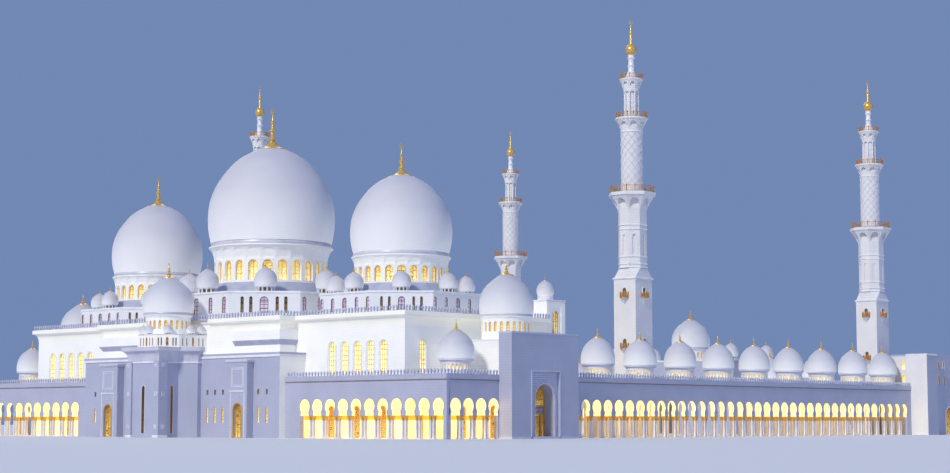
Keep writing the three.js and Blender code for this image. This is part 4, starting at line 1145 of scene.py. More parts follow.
def screenLattice(size):
    # gilded frame, lintel with a blue glazed frieze, sunburst tracery above and lattice beside the doors
    half, top, doorHalf, doorTop = size["half"], size["top"], size["doorHalf"], size["doorTop"]
    front, back = size["front"], size["back"]
    middle = (front + back) / 2
    centre = top - half
    frameWidth, ringWidth = size["frame"], size["ring"]
    friezeFoot, friezeTop = doorTop + size["friezeFoot"], doorTop + size["friezeTop"]
    rim = archOutline(half, 0, top) + archOutline(half - frameWidth, 0, top - frameWidth)[::-1]
    metal = [wallAlongX(rim, front, back)]
    for reach in (2.3, 1.5, 0.75):
        inside = archOutline(reach - ringWidth, centre, centre + reach - ringWidth, 14)
        ring = archOutline(reach, centre, centre + reach, 14) + inside[::-1]
        metal.append(wallAlongX(ring, front + 0.08, back - 0.08))
    spoke = block(0.7, 2.95, middle - 0.1, middle + 0.1, -0.06, 0.06)
    metal.append(spread(spoke, [shift(0, 0, centre) @ Matrix.Rotation(-math.pi * i / 10, 4, "Y")
                                for i in range(11)]))
    for low, high in ((doorTop, friezeFoot), (friezeTop, friezeTop + 0.3), (centre - 0.25, centre)):
        metal.append(block(-half + 0.2, half - 0.2, front + 0.02, back - 0.02, low, high))
    for x in (-doorHalf - 0.22, doorHalf):
        metal.append(block(x, x + 0.22, front, back, 0, doorTop))
    bar = block(-0.045, 0.045, middle - 0.06, middle + 0.06, 0, 1.62)
    slants = [shift(x, 0, z) @ turned(turn, "Y")
              for x, turn in ((2.02, 40), (2.95, -40), (-2.02, -40), (-2.95, 40)) for z in (0.1, 1.3, 2.5, 3.7)]
    metal.append(spread(bar, slants))
    frieze = block(-half + 0.3, half - 0.3, middle - 0.05, middle + 0.05, friezeFoot, friezeTop)
    stud = lathe([(0, 0), (0.32, 0), (0.32, 0.1), (0.2, 0.16), (0, 0.16)], 16)
    studHeight = (friezeFoot + friezeTop) / 2
    metal.append(spread(stud, [shift(x, middle - 0.05, studHeight) @ turned(90, "X")
                               for x in (-2.1, -0.7, 0.7, 2.1)]))
    above = wallAlongX([(-half + 0.3, friezeTop + 0.3), (half - 0.3, friezeTop + 0.3)]
                       + archOutline(half - 0.3, centre, top - 0.3)[1:-1][::-1], middle + 0.02, middle + 0.06)
    markHeight(above, doorTop, top)
    sides = [block(x0, x1, middle + 0.02, middle + 0.06, 0.05, doorTop)
             for x0, x1 in ((-half + 0.3, -doorHalf - 0.2), (doorHalf + 0.2, half - 0.3))]
    for pane in sides:
        markHeight(pane, 0, doorTop)
    panes = [finish(pane, doorGlow) for pane in [above] + sides]
    return joined(*[finish(part, gilding) for part in metal], finish(frieze, friezeGlass), *panes)


def doorLeaf(sign):
    # stiles, rails and a lattice of crossed bars, as thick as the leaf in the frame
    front, back, low, high = leafSize["front"], leafSize["back"], leafSize["low"], leafSize["high"]
    near, far, stile, rail = leafSize["near"], leafSize["far"], leafSize["stile"], leafSize["rail"]
    edges = [(near, near + stile, low, high), (far - stile, far, low, high)]
    edges += [(near, far, z, z + rail) for z in (low, 1.5, 3.6, high - rail)]
    metal = [block(*sorted((sign * x0, sign * x1)), front, back, z0, z1) for x0, x1, z0, z1 in edges]
    bar = block(-0.025, 0.025, front + 0.02, back - 0.02, -0.62, 0.62)
    crossings = [shift(sign * x, 0, z) @ turned(turn, "Y")
                 for z in (0.83, 2.1, 3.05, 4.4) for x in (0.5, 1.25) for turn in (-38, 38)]
    metal.append(spread(bar, crossings))
    ringPull = lathe([(0.12, -0.02), (0.15, -0.02), (0.15, 0.02), (0.12, 0.02)], 16, closed=True)
    ringPull.data.transform(shift(sign * 0.2, front - 0.01, 2.45) @ turned(90, "X"))
    pane = block(*sorted((sign * 0.1, sign * 1.65)), front + 0.045, front + 0.075, low + 0.1, high - 0.1)
    markHeight(pane, low, high)
    return joined(*[finish(part, gilding) for part in metal + [ringPull]], finish(pane, doorGlow))


bothSides(screenLattice(screenSize), "southGildedScreen", "south_gilded_screen")
for sign, word in ((-1, "west"), (1, "east")):
    settle(doorLeaf(sign), word + "DoorLeaf", f"south_door_{word}", body=f"door_{word}_leaf")
for sign, word in ((-1, "West"), (1, "East")):
    fixedLeaf = doorLeaf(sign)
    fixedLeaf.data.transform(sideways)
    fixedLeaf.data.flip_normals()
    settle(fixedLeaf, "north" + word + "FixedLeaf")
print("screens and doors made")


# Prayer niche block

nicheSize = {"west": -40.2, "half": 5.9, "side": 9.2, "slantFrom": -34.4, "slantTo": -31.1, "east": -30.0,
             "corniceFoot": 18.1, "corniceTop": 21.6, "reach": 1.3, "storeyFoot": 21.5, "storeyLip": 24.45,
             "storeyWest": -39.5, "storeyHalf": 3.4, "storeySide": 7.4, "storeyEast": -27.0,
             "wideSlit": (0.32, 21.9, 23.95), "thinSlit": (0.16, 21.9, 23.85), "middle": -33.0}


def mirroredPlan(northHalf):
    # a plan's north half, west side last, with its mirror image after it
    return northHalf + [(x, -y) for x, y in northHalf[::-1]]


def nichePlan(offset=0.0):
    n = nicheSize
    bend = offset * math.tan(math.pi / 8)
    side, half = n["side"] + offset, n["half"] + offset
    return mirroredPlan([(n["east"], side), (n["slantTo"] - bend, side), (n["slantFrom"] - bend, half),
                         (n["west"] - offset, half)])


def storeyPlan(inset=0.0):
    n = nicheSize
    west, side, bend = n["storeyWest"] + inset, n["storeySide"] - inset, inset * math.tan(math.pi / 8)
    corner = n["storeyWest"] + n["storeySide"] - n["storeyHalf"] + bend
    return mirroredPlan([(n["storeyEast"], side), (corner, side), (west, n["storeyHalf"] - bend)])


def coveProfile(inner, low, bend, top, reach, steps=6):
    # hollow curve that swings out to a flat band
    curve = [(0.03 + (reach - 0.15) * (1 - math.cos(math.pi / 2 * i / steps)),
              low + (bend - low) * math.sin(math.pi / 2 * i / steps)) for i in range(steps + 1)]
    return [(inner, low)] + curve + [(reach - 0.06, bend), (reach, bend + 0.08), (reach, top - 0.14),
                                     (reach - 0.08, top - 0.14), (reach - 0.08, top), (inner, top)]


n = nicheSize
cornice = moulding(nichePlan(), coveProfile(-1.6, n["corniceFoot"], 20.6, n["corniceTop"], n["reach"]))
footBand = moulding(nichePlan(), [(-0.2, 17.75), (0.16, 17.75), (0.16, 18.0), (0.06, 18.1), (-0.2, 18.1)])
corniceLid = slab(nichePlan(-1.5), 21.2, 21.56)
foot, lip = n["storeyFoot"], n["storeyLip"]
storeyWalls = hollowFrame([(x, y, foot) for x, y in storeyPlan()], 0.7, (0, 0, lip - foot))
storeyRoof = slab(storeyPlan(0.3), lip - 0.25, lip + 0.15)
saddleWalls = block(-29.9, n["storeyEast"], -n["storeySide"], n["storeySide"], 19.8, foot)
storeyLip = moulding(storeyPlan(), [(-0.5, lip), (0.03, lip), (0.14, lip + 0.1), (0.14, lip + 0.25),
                                    (-0.5, lip + 0.25)])
diagonal = (n["storeyWest"] + (n["storeySide"] - n["storeyHalf"]) / 2, (n["storeySide"] + n["storeyHalf"]) / 2)
southSpan = (n["storeyWest"] + n["storeySide"] - n["storeyHalf"] + n["storeyEast"]) / 2
storeyFaces = [(facing(0, 0, 180, -n["storeyWest"]), (1.2, 2.3)),
               (shift(*diagonal, 0) @ turned(135), (1.4, 2.1)),
               (shift(diagonal[0], -diagonal[1], 0) @ turned(225), (1.4, 2.1)),
               (facing(southSpan, 0, 90, n["storeySide"]), (1.85, 3.1)),
               (facing(southSpan, 0, -90, n["storeySide"]), (1.85, 3.1))]
wideSpots = [face for face, _ in storeyFaces]
narrowSpots = [face @ shift(0, sign * u, 0) for face, us in storeyFaces for u in us for sign in (-1, 1)]
cutters = [spread(archBlock(*n["wideSlit"], -3, 1), wideSpots),
           spread(archBlock(*n["thinSlit"], -3, 1), narrowSpots)]
glazing = [spread(windowUnit(*n["wideSlit"], doorGlow, bronze, 2, 1, 0.25), wideSpots),
           spread(windowUnit(*n["thinSlit"], darkGlass, bronze, 1, 0, 0.25), narrowSpots)]
finish(cutBy(storeyWalls, joined(*cutters)), wallMarble)
tiny = smallDomeUnit(2.2, 24.6, 8)
tinyPlaces = [(n["storeyWest"] + 1.0, 0)]
tinyLine = n["storeySide"] - 0.95
for x, y in ((diagonal[0] + 0.7, diagonal[1] - 0.7), (-31.2, tinyLine), (-28.0, tinyLine)):
    tinyPlaces += [(x, y), (x, -y)]
tinyDomes = spread(tiny, [shift(x, y, 0) for x, y in tinyPlaces])
plainTrim = [finish(part, trimMarble) for part in (footBand, corniceLid, storeyRoof, storeyLip)]
# the niche cornice is tinted lilac as painted shade
upper = joined(finish(cornice, shadeTintMoulding), storeyWalls, finish(saddleWalls, wallMarble), *plainTrim, *glazing,
               tinyDomes)
settle(upper, "nicheUpperStorey", replaced="niche_upper_storey")
for crown, name, slot in ((domeUnit(nicheDome, 64, 20, bars=True, finial=False), "dome", "dome_marble"),
                          (finialShape(nicheDome, 24), "finial", "gold_finial")):
    crown.data.transform(shift(n["middle"], 0, 0))
    settle(crown, "niche" + name.capitalize(), replaced="niche_" + name)
print("niche made")


# Minarets

minaretSize = {"half": 3.45, "squareTop": 40.0, "octagonFoot": 42.4, "octagonTop": 56.9, "floor1": 61.8,
               "width1": 11.4, "shaft": 2.8, "shaftTop": 77.8, "floor2": 81.15, "width2": 8.5, "lantern": 1.55,
               "lanternTop": 88.6, "floor3": 91.3, "width3": 6.1, "neckTop": 97.6}
octagonReach = 1 / math.cos(math.pi / 8)


def octagonRing(profile):
    # profile as (distance of the flat face, height)
    return lathe([(r * octagonReach, z) for r, z in profile], 8, turn=math.pi / 8)


def flareProfile(inside, outside, low, high, steps=7):
    # corbel that swings out below a balcony
    return [(inside + (outside - inside) * (1 - math.cos(math.pi / 2 * i / steps)) ** 0.7,
             low + (high - low) * (i / steps) ** 0.9) for i in range(steps + 1)]


def railing(radius, floor, height, posts, segments):
    # turned posts with small finials, two rails and thin bars
    rails = [lathe([(radius - 0.05, z), (radius + 0.05, z), (radius + 0.05, z + 0.1), (radius - 0.05, z + 0.1)],
                   segments, turn=math.pi / segments, closed=True) for z in (floor + 0.18, floor + height * 0.78)]
    post = lathe([(0, floor), (0.13, floor), (0.13, floor + height * 0.82), (0.19, floor + height * 0.84),
                  (0.19, floor + height * 0.92), (0.06, floor + height), (0, floor + height * 1.06)], 6)
    bar = block(-0.03, 0.03, -0.03, 0.03, floor + 0.2, floor + height * 0.8)
    near = radius if segments > 8 else radius * math.cos(math.pi / segments) + 0.1
    post.data.transform(shift(near, 0, 0))
    bar.data.transform(shift(near, 0, 0))
    return finish(joined(*rails, spread(post, around(0, 0, posts)), spread(bar, around(0, 0, posts * 4))), bronze)


def gildedBalcony(z):
    # small gilded balcony with a dark arched window behind and a pointed corbel below, facing +x
    floor = lathe([(0, z), (1.25, z), (1.3, z + 0.12), (1.25, z + 0.24), (0, z + 0.24)], 16)
    corbel = lathe([(0, z - 1.6), (0.12, z - 1.45), (0.55, z - 0.8), (1.1, z - 0.1), (1.2, z), (0, z)], 12)
    post = lathe([(0, z + 0.2), (0.1, z + 0.2), (0.1, z + 1.35), (0.15, z + 1.4), (0.05, z + 1.7), (0, z + 1.7)], 6)
    posts = spread(post, [turned(angle) @ shift(1.2, 0, 0) for angle in range(-84, 85, 24)])
    rails = [lathe([(1.14, z + h), (1.26, z + h), (1.26, z + h + 0.12), (1.14, z + h + 0.12)], 20, closed=True)
             for h in (0.3, 0.7, 1.15)]
    opening = archBlock(0.6, z + 0.25, z + 2.7, -0.02, 0.05)
    markHeight(opening, z, z + 2.7)
    frameRing = windowBars(0.72, z + 0.25, z + 2.85, 0.14, 0, 0, 0.14)
    return joined(finish(joined(floor, *rails, posts), bronze), finish(corbel, trimMarble),
                  finish(opening, darkGlass), finish(frameRing, trimMarble))


def minaretTower():
    # square foot, octagon, round shaft and lantern, with their flares, railings and balconies
    m = minaretSize
    half = m["half"]
    floor1, floor2, floor3, lanternTop = m["floor1"], m["floor2"], m["floor3"], m["lanternTop"]
    shaft = block(-half, half, -half, half, 0, m["octagonFoot"])
    corner = octagonRing([(0, -1), (half * math.sqrt(2), -1), (half * math.sqrt(2), m["squareTop"]),
                          (half, m["octagonFoot"]), (0, m["octagonFoot"])])
    shaft = cutBy(shaft, corner, "INTERSECT")
    eight = octagonRing([(0, m["octagonFoot"] - 0.1), (half, m["octagonFoot"] - 0.1)]
                        + flareProfile(half, m["width1"] / 2 - 0.25, m["octagonTop"], floor1 - 0.9)
                        + [(m["width1"] / 2, floor1 - 0.8), (m["width1"] / 2, floor1), (0, floor1)])
    hollow = archBlock(1.1, m["octagonTop"] + 0.4, floor1 - 1.5, half + 0.12, half + 5)
    panel = archBlock(0.5, 45.8, 51.0, half - 0.28, half + 2)
    eight = cutBy(eight, spread(joined(hollow, panel), around(0, 0, 8)))
    roundShaft = lathe([(0, floor1 - 0.1), (m["shaft"], floor1 - 0.1)]
                       + flareProfile(m["shaft"], m["width2"] / 2 - 0.15, m["shaftTop"], floor2 - 0.5)
                       + [(m["width2"] / 2, floor2 - 0.45), (m["width2"] / 2, floor2), (0, floor2)], 32)
    hollow = archBlock(0.8, m["shaftTop"] - 0.1, floor2 - 1.05, m["shaft"] + 0.08, m["shaft"] + 4)
    roundShaft = cutBy(roundShaft, spread(hollow, around(0, 0, 8)))
    core = lathe([(0, floor2 - 0.1), (m["lantern"], floor2 - 0.1), (m["lantern"], lanternTop), (0, lanternTop)], 16)
    crown = lathe([(0, lanternTop - 0.6), (2.05, lanternTop - 0.6)]
                  + flareProfile(2.05, m["width3"] / 2 - 0.12, lanternTop - 0.3, floor3 - 0.4)
                  + [(m["width3"] / 2, floor3 - 0.35), (m["width3"] / 2, floor3), (0, floor3)], 32)
    crown = cutBy(crown, spread(archBlock(0.58, lanternTop - 0.5, floor3 - 0.85, 2.1, 5), around(0, 0, 8)))
    column = lathe([(0, floor2), (0.32, floor2), (0.32, floor2 + 0.25), (0.21, floor2 + 0.4),
                    (0.2, lanternTop - 1.0), (0.32, lanternTop - 0.7), (0.32, lanternTop - 0.5),
                    (0, lanternTop - 0.5)], 8)
    column.data.transform(shift(1.78, 0, 0))
    columns = spread(column, around(0, 0, 8, math.pi / 8))
    neckCurve = [(0, floor3), (1.5, floor3), (1.46, floor3 + 0.5), (1.25, floor3 + 1.1), (1.0, floor3 + 1.7),
                 (0.82, floor3 + 2.2), (0.76, 94.4)]
    neckCurve += bead(94.5, 0.6, 0.98, 0.76) + [(0.7, 95.9), (0.74, 96.4)] + bead(96.5, 0.6, 1.02, 0.78)
    neck = lathe(neckCurve + [(0.75, 97.2), (0.85, m["neckTop"]), (0, m["neckTop"])], 16)
    walls = finish(joined(shaft, eight, core, crown, roundShaft), minaretMarble)
    bands = [octagonRing([(half - 0.3, z), (half + 0.12, z), (half + 0.2, z + 0.14), (half + 0.12, z + 0.28),
                          (half - 0.3, z + 0.28)]) for z in (42.5, 43.4, 45.2, 52.2, 53.3)]
    square = moulding([(half, -half), (half, half), (-half, half), (-half, -half)],
                      [(-0.2, 39.55), (0.1, 39.55), (0.26, 39.8), (0.26, 40.0), (0.04, 40.12), (-0.2, 40.12)],
                      closed=True)
    near, far = m["shaft"] - 0.3, m["shaft"] + 0.14
    collars = [lathe([(near, z), (far, z), (far, z + 0.25), (near, z + 0.25)], 32, closed=True)
               for z in (62.2, 77.4)]
    trims = finish(joined(square, columns, neck, *bands, *collars), trimMarble)
    rails = [railing(m["width1"] / 2 * octagonReach - 0.3, floor1, 1.9, 16, 8),
             railing(m["width2"] / 2 - 0.25, floor2, 1.5, 16, 32),
             railing(m["width3"] / 2 - 0.2, floor3, 1.4, 12, 24)]
    balconies = spread(joined(gildedBalcony(34.8), gildedBalcony(21.9)),
                       [facing(0, 0, angle, half) for angle in (0, 90, 180, 270)])
    return joined(walls, trims, diamondRibs(), *rails, balconies)


def diamondRibs():
    # thin ribs wound both ways round the upper shaft: they cross in a diamond net
    m = minaretSize
    rise = m["shaftTop"] - m["floor1"] - 1.6
    ribs = []
    for way in (1, -1):
        radius = m["shaft"]
        rib = drawLine([(radius - 0.03, -0.09, 62.8), (radius + 0.09, 0, 62.8), (radius - 0.03, 0.09, 62.8)])
        modified(rib, "SCREW", angle=way * math.radians(240), screw_offset=rise, steps=20, render_steps=20)
        startEdit(rib)
        bpy.ops.mesh.normals_make_consistent(inside=False)
        endEdit()
        ribs.append(spread(rib, around(0, 0, 10)))
    # the ribs' lilac grey is painted shade, standing in for thin shadow lines
    return finish(joined(*ribs), shadeTintMoulding)


def minaretCrown():
    # gilded ball, spire with a bead, and crescent
    foot = minaretSize["neckTop"]
    profile = [(0, foot), (0.8, foot), (0.85, 97.65), (1.2, 98.0), (1.45, 98.5), (1.5, 98.9), (1.45, 99.3),
               (1.2, 99.85), (0.8, 100.25), (0.48, 100.5), (0.4, 100.8), (0.36, 102.7)]
    profile += bead(102.9, 1.0, 0.5, 0.3) + [(0.2, 104.2), (0.1, 105.7), (0, 105.8)]
    return finish(joined(lathe(profile, 24), crescentShape(0.55, 106.3, 0.08)), gilding)


minaretPlaces = {"west": 58.3, "east": 175.8}
minaretLine = 72.2
tower = minaretTower()
crownTop = minaretCrown()
for word, x in minaretPlaces.items():
    for side, sign in (("south", -1), ("north", 1)):
        here = shift(x, sign * minaretLine, 0)
        name, node = side + word.capitalize() + "Minaret", f"{side}{word}_minaret"
        settle(copyOf(tower, here), name, replaced=node)
        settle(copyOf(crownTop, here), name + "Finial", node + "_finial")
dropped(tower, crownTop)
print("minarets made")


# Hall: cornices, window frames and glass

# half width, sill and head of each kind of opening
openings = {"tall": (1.28, 14.5, 22.1), "hallDoor": (2.5, 0, 8), "middleHallDoor": (4.0, 0, 12),
            "lowSlit": (0.35, 3.4, 7.3), "porchDoor": (1.5, 0, 8.0), "frontSlit": (0.6, 1.0, 12.5),
            "sideSlit": (0.4, 1.0, 12.5), "keyhole": (0.8, 0.1, 7.2), "keyholeRim": (1.02, 0.1, 7.42),
            "tower": (1.1, 24.5, 30.5), "lancet": (0.5, 14.5, 17.5), "upperLancet": (0.5, 19.0, 21.5),
            "pavilionDoor": (2.5, 0, 8)}
hallTrim = {"coveFoot": 25.3, "coveBend": 27.45, "coveTop": 28.46, "reach": 1.3, "ledgeFoot": 22.8,
            "ledgeTop": 25.28, "niche": 17.9, "nicheSide": 9.2, "windows": (46.5, 50.7, 54.9, 59.1, 63.3),
            "sideWindows": (-16.3, 16.3), "doors": (-47, -31, -15)}


def archRim(half, sill, top, width, reach):
    # raised moulding round an arched opening, facing +x
    ring = archOutline(half, sill, top, 12) + archOutline(half + width, sill, top + width, 12)[::-1]
    return wallAlongY(ring, -0.02, reach)


def litPane(half, sill, top, face):
    # lit pane that fills an arched opening, its face this far from the wall plane
    pane = archBlock(half, sill, top, face - 0.05, face, 12)
    markHeight(pane, sill, top)
    return pane


def boxRim(half, sill, top, width, reach, openFoot=False):
    # raised moulding round a square panel, facing +x
    if openFoot:
        outline = boxOutline(half + width, sill, top + width) + boxOutline(half, sill, top)[::-1]
        return wallAlongY(outline, -0.02, reach)
    wide = half + width
    sides = [(-wide, wide, sill - width, sill), (-wide, wide, top, top + width), (-wide, -half, sill, top),
             (half, wide, sill, top)]
    return joined(*[block(-0.02, reach, *side) for side in sides])


def onWall(unit, angle, distance, places):
    # the unit at each place along a wall that faces this way
    return spread(unit, [facing(0, 0, angle, distance, along) for along in places])


def rimmedWindow(kind, glass, bars, rails, uprights, deep, rimWidth, rimReach):
    # recessed window with a moulding round its opening
    unit = windowUnit(*openings[kind], glass, bars, rails, uprights, deep)
    return joined(unit, finish(archRim(*openings[kind], rimWidth, rimReach), trimMarble))


hallCurve = coveProfile(-0.3, *[hallTrim[key] for key in ("coveFoot", "coveBend", "coveTop", "reach")], 8)
hallPath = [(h["frontWest"], -hallTrim["nicheSide"]), (h["frontWest"], -h["frontSide"]),
            (h["west"], -h["frontSide"]), (h["west"], -h["side"]), (h["towerWest"], -h["side"])]
hallCove = moulding(hallPath, hallCurve)
eastCove = moulding([(h["east"], h["towerSide"] - h["side"]), (h["east"], 0)], hallCurve)
ledgePath = [(h["frontWest"], -hallTrim["niche"])] + hallPath[1:3]
low, high = hallTrim["ledgeFoot"], hallTrim["ledgeTop"]
ledge = moulding(ledgePath, [(-0.2, low), (0.7, low), (0.7, high), (-0.2, high)])
# the splay under the ledge is painted lilac as its shade
ledgeEdge = moulding(ledgePath, [(-0.2, low - 1.1), (0.0, low - 1.1), (0.76, low - 0.1), (0.76, low + 0.15),
                                 (0.5, low + 0.16), (-0.2, low - 0.05)])
bothSides(joined(finish(hallCove, coveMarble), finish(eastCove, coveMarble), finish(ledge, wallMarble),
                 finish(ledgeEdge, lilacMarbleAndShade)),
          "southHallCornice")

tall = joined(rimmedWindow("tall", hallGlass, gilding, 6, 3, 0.45, 0.2, 0.1),
              finish(block(-0.02, 0.2, -1.6, 1.6, 14.25, 14.5), trimMarble))
tallTwin = copyOf(tall, Matrix.Identity(4))
bothSides(joined(onWall(tall, 180, -h["west"], hallTrim["windows"]),
                 onWall(tallTwin, -90, h["side"], hallTrim["sideWindows"])),
          "southHallWindows")

doorRims = onWall(finish(archRim(*openings["hallDoor"], 0.3, 0.15), gilding), 0, h["east"], hallTrim["doors"])
middleRim = onWall(finish(archRim(*openings["middleHallDoor"], 0.4, 0.2), gilding), 0, h["east"], (0,))
bothSides(doorRims, "southeastHallDoorRims")
settle(middleRim, "eastHallDoorRim")
print("hall cornices and windows made")


# West front: lit slits, door blocks and the niche's slits and piers

frontSize = {"slits": (11.6, 14.4, 17.3, 30.0, 33.0), "highSlit": (10.1, 11.3), "porchWest": -32.0,
             "porchSides": (21.2, 28.3), "porchDoor": 25.0, "porchCap": 17.5, "lip": 19.3,
             "squareHeights": (2.1, 9.9, 16.8)}
face, side = h["westFront"], h["westFrontSide"]
lowSlit = windowUnit(*openings["lowSlit"], goldGlass, bronze, 4, 0, 0.2)
highSlit = finish(block(-0.35, -0.25, -0.35, 0.35, *frontSize["highSlit"]), darkGlass)
markHeight(highSlit, *frontSize["highSlit"])
slits = onWall(joined(lowSlit, highSlit), 180, -face, frontSize["slits"])
near, far = frontSize["porchSides"]
porchPath = [(face, -near), (frontSize["porchWest"], -near), (frontSize["porchWest"], -far), (face, -far)]
foot = frontSize["porchCap"]
porchCap = moulding(porchPath, [(-0.3, foot), (0.1, foot), (0.34, foot + 0.3), (0.34, foot + 0.65),
                                (0.12, foot + 0.84), (-0.3, foot + 0.84)])
porchLid = block(frontSize["porchWest"] + 0.2, face, 0.2 - far, -near - 0.2, foot + 0.7, foot + 0.82)
porchParts = [windowUnit(*openings["porchDoor"], doorGlow, gilding, 4, 2, 0.7),
              finish(archRim(*openings["porchDoor"], 0.25, 0.12), gilding)]
porchTrim = [boxRim(2.0, 12.0, 16.2, 0.15, 0.1), boxRim(1.7, 12.3, 15.9, 0.08, 0.06),
             boxRim(2.35, 0, 10.6, 0.18, 0.12, True), block(-0.02, 0.3, -2.7, 2.7, 10.78, 11.0)]
porchParts += [finish(part, trimMarble) for part in porchTrim]
porchParts.append(finish(block(-0.02, 0.06, -0.45, 0.45, 9.2, 9.7), panelCarving))
porch = onWall(joined(*porchParts), 180, -frontSize["porchWest"], (frontSize["porchDoor"],))
frontLip = moulding([(face, -hallTrim["nicheSide"]), (face, -side), (h["west"], -side)],
                    [(-0.1, frontSize["lip"]), (0.22, 19.36), (0.26, 19.6), (0.26, 19.84), (-0.1, 19.84)])
# porch caps and front lip are tinted lilac as painted shade
bothSides(joined(slits, porch, finish(joined(porchCap, porchLid), shadeTintMoulding), finish(frontLip, lowShadeMarble)),
          "southWestFrontDetails")
bothSides(finish(block(face + 0.02, h["west"], -side - 0.04, 0.02 - side, 0, frontSize["lip"]), wallMarble),
          "southWestFrontReturn")

frontSlit = rimmedWindow("frontSlit", slitGlass, frameBronze, 14, 2, 0.3, 0.12, 0.06)
frontSlit.data.transform(facing(0, 0, 180, -nicheSize["west"]))
settle(frontSlit, "nicheFrontSlit")
sideSlit = rimmedWindow("sideSlit", darkGlass, bronze, 14, 1, 0.3, 0.1, 0.06)
sideSlit.data.transform(facing(-36.3, 0, -90, nicheSize["half"]))


def pierSquare():
    # carved square: raised frame round a small round boss
    ring = boxRim(0.36, 0.14, 0.86, 0.1, 0.08)
    boss = lathe([(0, 0), (0.2, 0), (0.2, 0.08), (0.1, 0.12), (0, 0.12)], 12)
    boss.data.transform(shift(0, 0, 0.5) @ turned(90, "Y"))
    field = block(-0.01, 0.02, -0.36, 0.36, 0.14, 0.86)
    return joined(finish(joined(ring, boss), trimMarble), finish(field, lilacMarbleAndShade))


# the niche's corner pier, seen from the west and from the south
pierFaces = (facing(0, 0, 180, 40.6, 5.25), facing(-39.2, 0, -90, 6.3))
squares = spread(pierSquare(), [spot @ shift(0, 0, z) for spot in pierFaces for z in frontSize["squareHeights"]])
pierFoot = finish(block(-40.66, -37.85, -6.36, -4.14, 0, 0.6), trimMarble)
bothSides(joined(sideSlit, squares, pierFoot), "southNicheDetails")
print("west front made")


# Galleries behind the arches

def keyholeDoors(angle, distance, places):
    # gilded keyhole doorways on a lit wall
    door = archBlock(*openings["keyhole"], 0, 0.05)
    markHeight(door, -2, 8)
    rim = wallAlongY(archOutline(*openings["keyhole"], 8) + archOutline(*openings["keyholeRim"], 8)[::-1], 0, 0.12)
    return onWall(joined(finish(door, doorGlow), finish(rim, gilding)), angle, distance, places)


liningSize = {"thickness": 0.06, "top": 12.83, "friezeFoot": 4.15, "friezeTop": 5.15, "friezeReach": 0.03}


def lining(x0, x1, y0, y1):
    # lit wall with its gilded frieze
    reach = liningSize["friezeReach"]
    wall = finish(block(x0, x1, y0, y1, 0, liningSize["top"]), galleryGlow)
    band = block(x0 - reach, x1 + reach, y0 - reach, y1 + reach, liningSize["friezeFoot"], liningSize["friezeTop"])
    return joined(wall, finish(band, galleryBand))


thick = liningSize["thickness"]
hallDoors, cornerDoors = (46.5, 54.9, 63.3), (-17.35, -13.3)
sideDoors, portalDoors = (14.47, 22.8, 31.1), (76.0, 85.5)
bothSides(joined(lining(-22.02 - thick, -22.02, -69.95, gallerySize["front"]),
                 lining(h["west"], -portal, hallFace, hallFace + thick),
                 lining(-portal, thick - portal, outer + 0.05, hallFace - 0.1), keyholeDoors(180, 22.08, hallDoors),
                 keyholeDoors(-90, -hallFace, cornerDoors), keyholeDoors(180, portal, portalDoors)),
          "southwestGalleryLining")
bothSides(joined(lining(portal, h["east"] - 0.1, hallFace, hallFace + thick),
                 lining(portal - thick, portal, outer + 0.05, hallFace - 0.1),
                 keyholeDoors(-90, -hallFace, sideDoors)),
          "southGalleryLining")
print("galleries made")


# Corner towers of the hall and pavilions of the east corners

towerSize = {"x": 30.45, "y": -66.55, "east": 33.9, "north": -63.1, "top": 33.2, "panel": (2.0, 23.6, 31.6),
             "sunk": 0.25}
towerDome = {"width": 4.3, "brimWidth": 1.0, "ring": 34.35, "widest": 35.7, "brim": 38.1, "tip": 39.8, "shell": 0.2,
             "drumTop": 34.1, "ringWidth": 3.9, "trim": 0.3}
towerX, towerY, north, east = towerSize["x"], towerSize["y"], towerSize["north"], towerSize["east"]
southFace, eastFace = h["side"] - towerSize["sunk"], east - towerSize["sunk"]
towerBody = block(h["towerWest"], east, -h["side"], north, 0, towerSize["top"])
towerBody = cutBy(towerBody, joined(wallAlongX(boxOutline(*towerSize["panel"], towerX), -71, -southFace),
                                    wallAlongY(boxOutline(*towerSize["panel"], towerY), eastFace, 35)))
towerBody = cutBy(towerBody, joined(wallAlongX(archOutline(*openings["tower"], 12, towerX), -70.5, -69.3),
                                    wallAlongY(archOutline(*openings["tower"], 12, towerY), 33.2, 34.5)))
towerWindows = spread(rimmedWindow("tower", goldGlass, bronze, 4, 2, 0.3, 0.2, 0.12),
                      [facing(towerX, 0, -90, southFace), facing(0, towerY, 0, eastFace)])
towerLip = moulding([(h["towerWest"], north), (h["towerWest"], -h["side"]), (east, -h["side"]), (east, north)],
                    [(-0.3, 32.8), (0.06, 32.8), (0.14, 32.95), (0.14, 33.2), (0.02, 33.28), (-0.3, 33.28)],
                    closed=True)
towerFoot = lathe([(0, 33.1), (2.05, 33.1), (2.05, 33.5), (1.9, 33.6), (1.9, 34.1), (0, 34.1)], 32)
crown = joined(shellShape(towerDome, 32, 12, smallDomeMarble), ringBand(towerDome, 32), finialShape(towerDome, 12),
               finish(towerFoot, trimMarble))
crown.data.transform(shift(towerX, towerY, 0))
bothSides(joined(finish(towerBody, wallMarble), towerWindows, finish(towerLip, trimMarble), crown),
          "southeastHallTower", replaced="southeast_hall_tower")

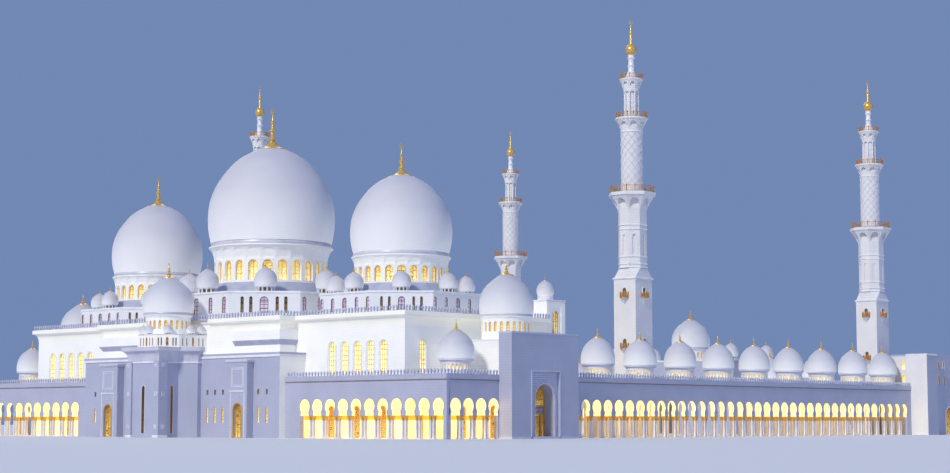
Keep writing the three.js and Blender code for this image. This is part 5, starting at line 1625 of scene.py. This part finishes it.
lancetSizes = (openings["lancet"], openings["upperLancet"])
lancets = joined(*[windowUnit(*size, goldGlass, bronze, rails, 1, 0.3)
                   for size, rails in zip(lancetSizes, (2, 1))],
                 *[finish(archRim(*size, 0.12, 0.06), trimMarble) for size in lancetSizes])
westLancets = joined(*[finish(litPane(*size, 0.1), goldGlass) for size in lancetSizes],
                     *[finish(archRim(*size, 0.14, 0.16), trimMarble) for size in lancetSizes])
pavilionDoor = joined(finish(litPane(*openings["pavilionDoor"], -0.9), doorGlow),
                      finish(archRim(*openings["pavilionDoor"], 0.35, 0.15), trimMarble))
paleFaces = joined(block(v["west"] - 0.06, v["west"], -v["front"], -v["shoulder"], 0, v["lip"]),
                   block(v["innerWest"] - 0.06, v["innerWest"], -v["shoulder"], -v["back"], 14, v["lip"]))
pavilionLips = [moulding(path, lipProfile(v["lip"])) for path in (
    [(v["west"], -v["shoulder"]), (v["west"], -v["front"]), (174.7, -v["front"])],
    [(193.3, -v["front"]), (v["east"], -v["front"]), (v["east"], -v["back"])])]
bothSides(joined(onWall(westLancets, 180, -v["innerWest"], (80.0, 84.8)), finish(paleFaces, minaretMarble),
                 onWall(pavilionDoor, -90, v["recess"], (184,)),
                 onWall(lancets, -90, v["recess"], (178, 181, 187, 190)),
                 *[finish(lip, trimMarble) for lip in pavilionLips]), "southeastPavilionDetails")

marbleNodes = {"hall_west_wall": wallMarble, "hall_south_wall": wallMarble, "hall_north_wall": wallMarble,
               "hall_east_wall": wallMarble, "hall_roof": trimMarble, "west_front_wall_south": lowShadeMarble,
               "west_front_wall_north": lowShadeMarble, "west_front_roof": trimMarble, "niche_wall": lowShadeMarble,
               "southeast_pavilion": lowShadeMarble, "northeast_pavilion": lowShadeMarble}
for name, material in marbleNodes.items():
    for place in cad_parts[name].material_slots:
        place.material = material
print("walls dressed")


# Camera, floor and light

view = {"place": (-39.75, -36.156, 0.363), "tilt": 95.682, "turn": -47.63, "lens": 70.74, "sensor": 36.0}
studio = {"floor": "#DDDFE4", "floorSize": 400.0, "sky": "#9DBBF5", "skyStrength": 0.5}

bpy.ops.object.camera_add(location=view["place"],
                          rotation=(math.radians(view["tilt"]), 0, math.radians(view["turn"])))
camera = bpy.context.object
camera.name = "photoView"
camera.data.lens = view["lens"]
camera.data.sensor_width = view["sensor"]
camera.data.clip_end = 1000
bpy.context.scene.camera = camera

clearSelection()
bpy.ops.mesh.primitive_plane_add(size=studio["floorSize"])
floor = bpy.context.object
floor.name = "studioFloor"
floor.data.materials.append(newMaterial("matt studio floor", studio["floor"], 0.9)[0])

bpy.context.scene.view_settings.view_transform = "Standard"
world = bpy.data.worlds.new("soft studio")
bpy.context.scene.world = world
world.use_nodes = True
background = world.node_tree.nodes["Background"]
background.inputs["Color"].default_value = linear(studio["sky"])
background.inputs["Strength"].default_value = studio["skyStrength"]

lamps = [
    {"name": "key", "from": (-60, -8, 45), "power": 2.3, "softness": 8, "colour": "#FFF8EA"},
    {"name": "fill", "from": (10, -60, 25), "power": 0.2, "softness": 25, "colour": "#CBD6FF"},
    {"name": "back", "from": (40, 50, 40), "power": 0.4, "softness": 25, "colour": "#F4F6FF"},
]
for lamp in lamps:
    bpy.ops.object.light_add(type="SUN", location=lamp["from"])
    sun = bpy.context.object
    sun.name = lamp["name"] + "Light"
    sun.rotation_euler = (-Vector(lamp["from"])).to_track_quat("-Z", "Y").to_euler()
    sun.data.energy = lamp["power"]
    sun.data.angle = math.radians(lamp["softness"])
    sun.data.color = linear(lamp["colour"])[:3]
print("camera and lights set")
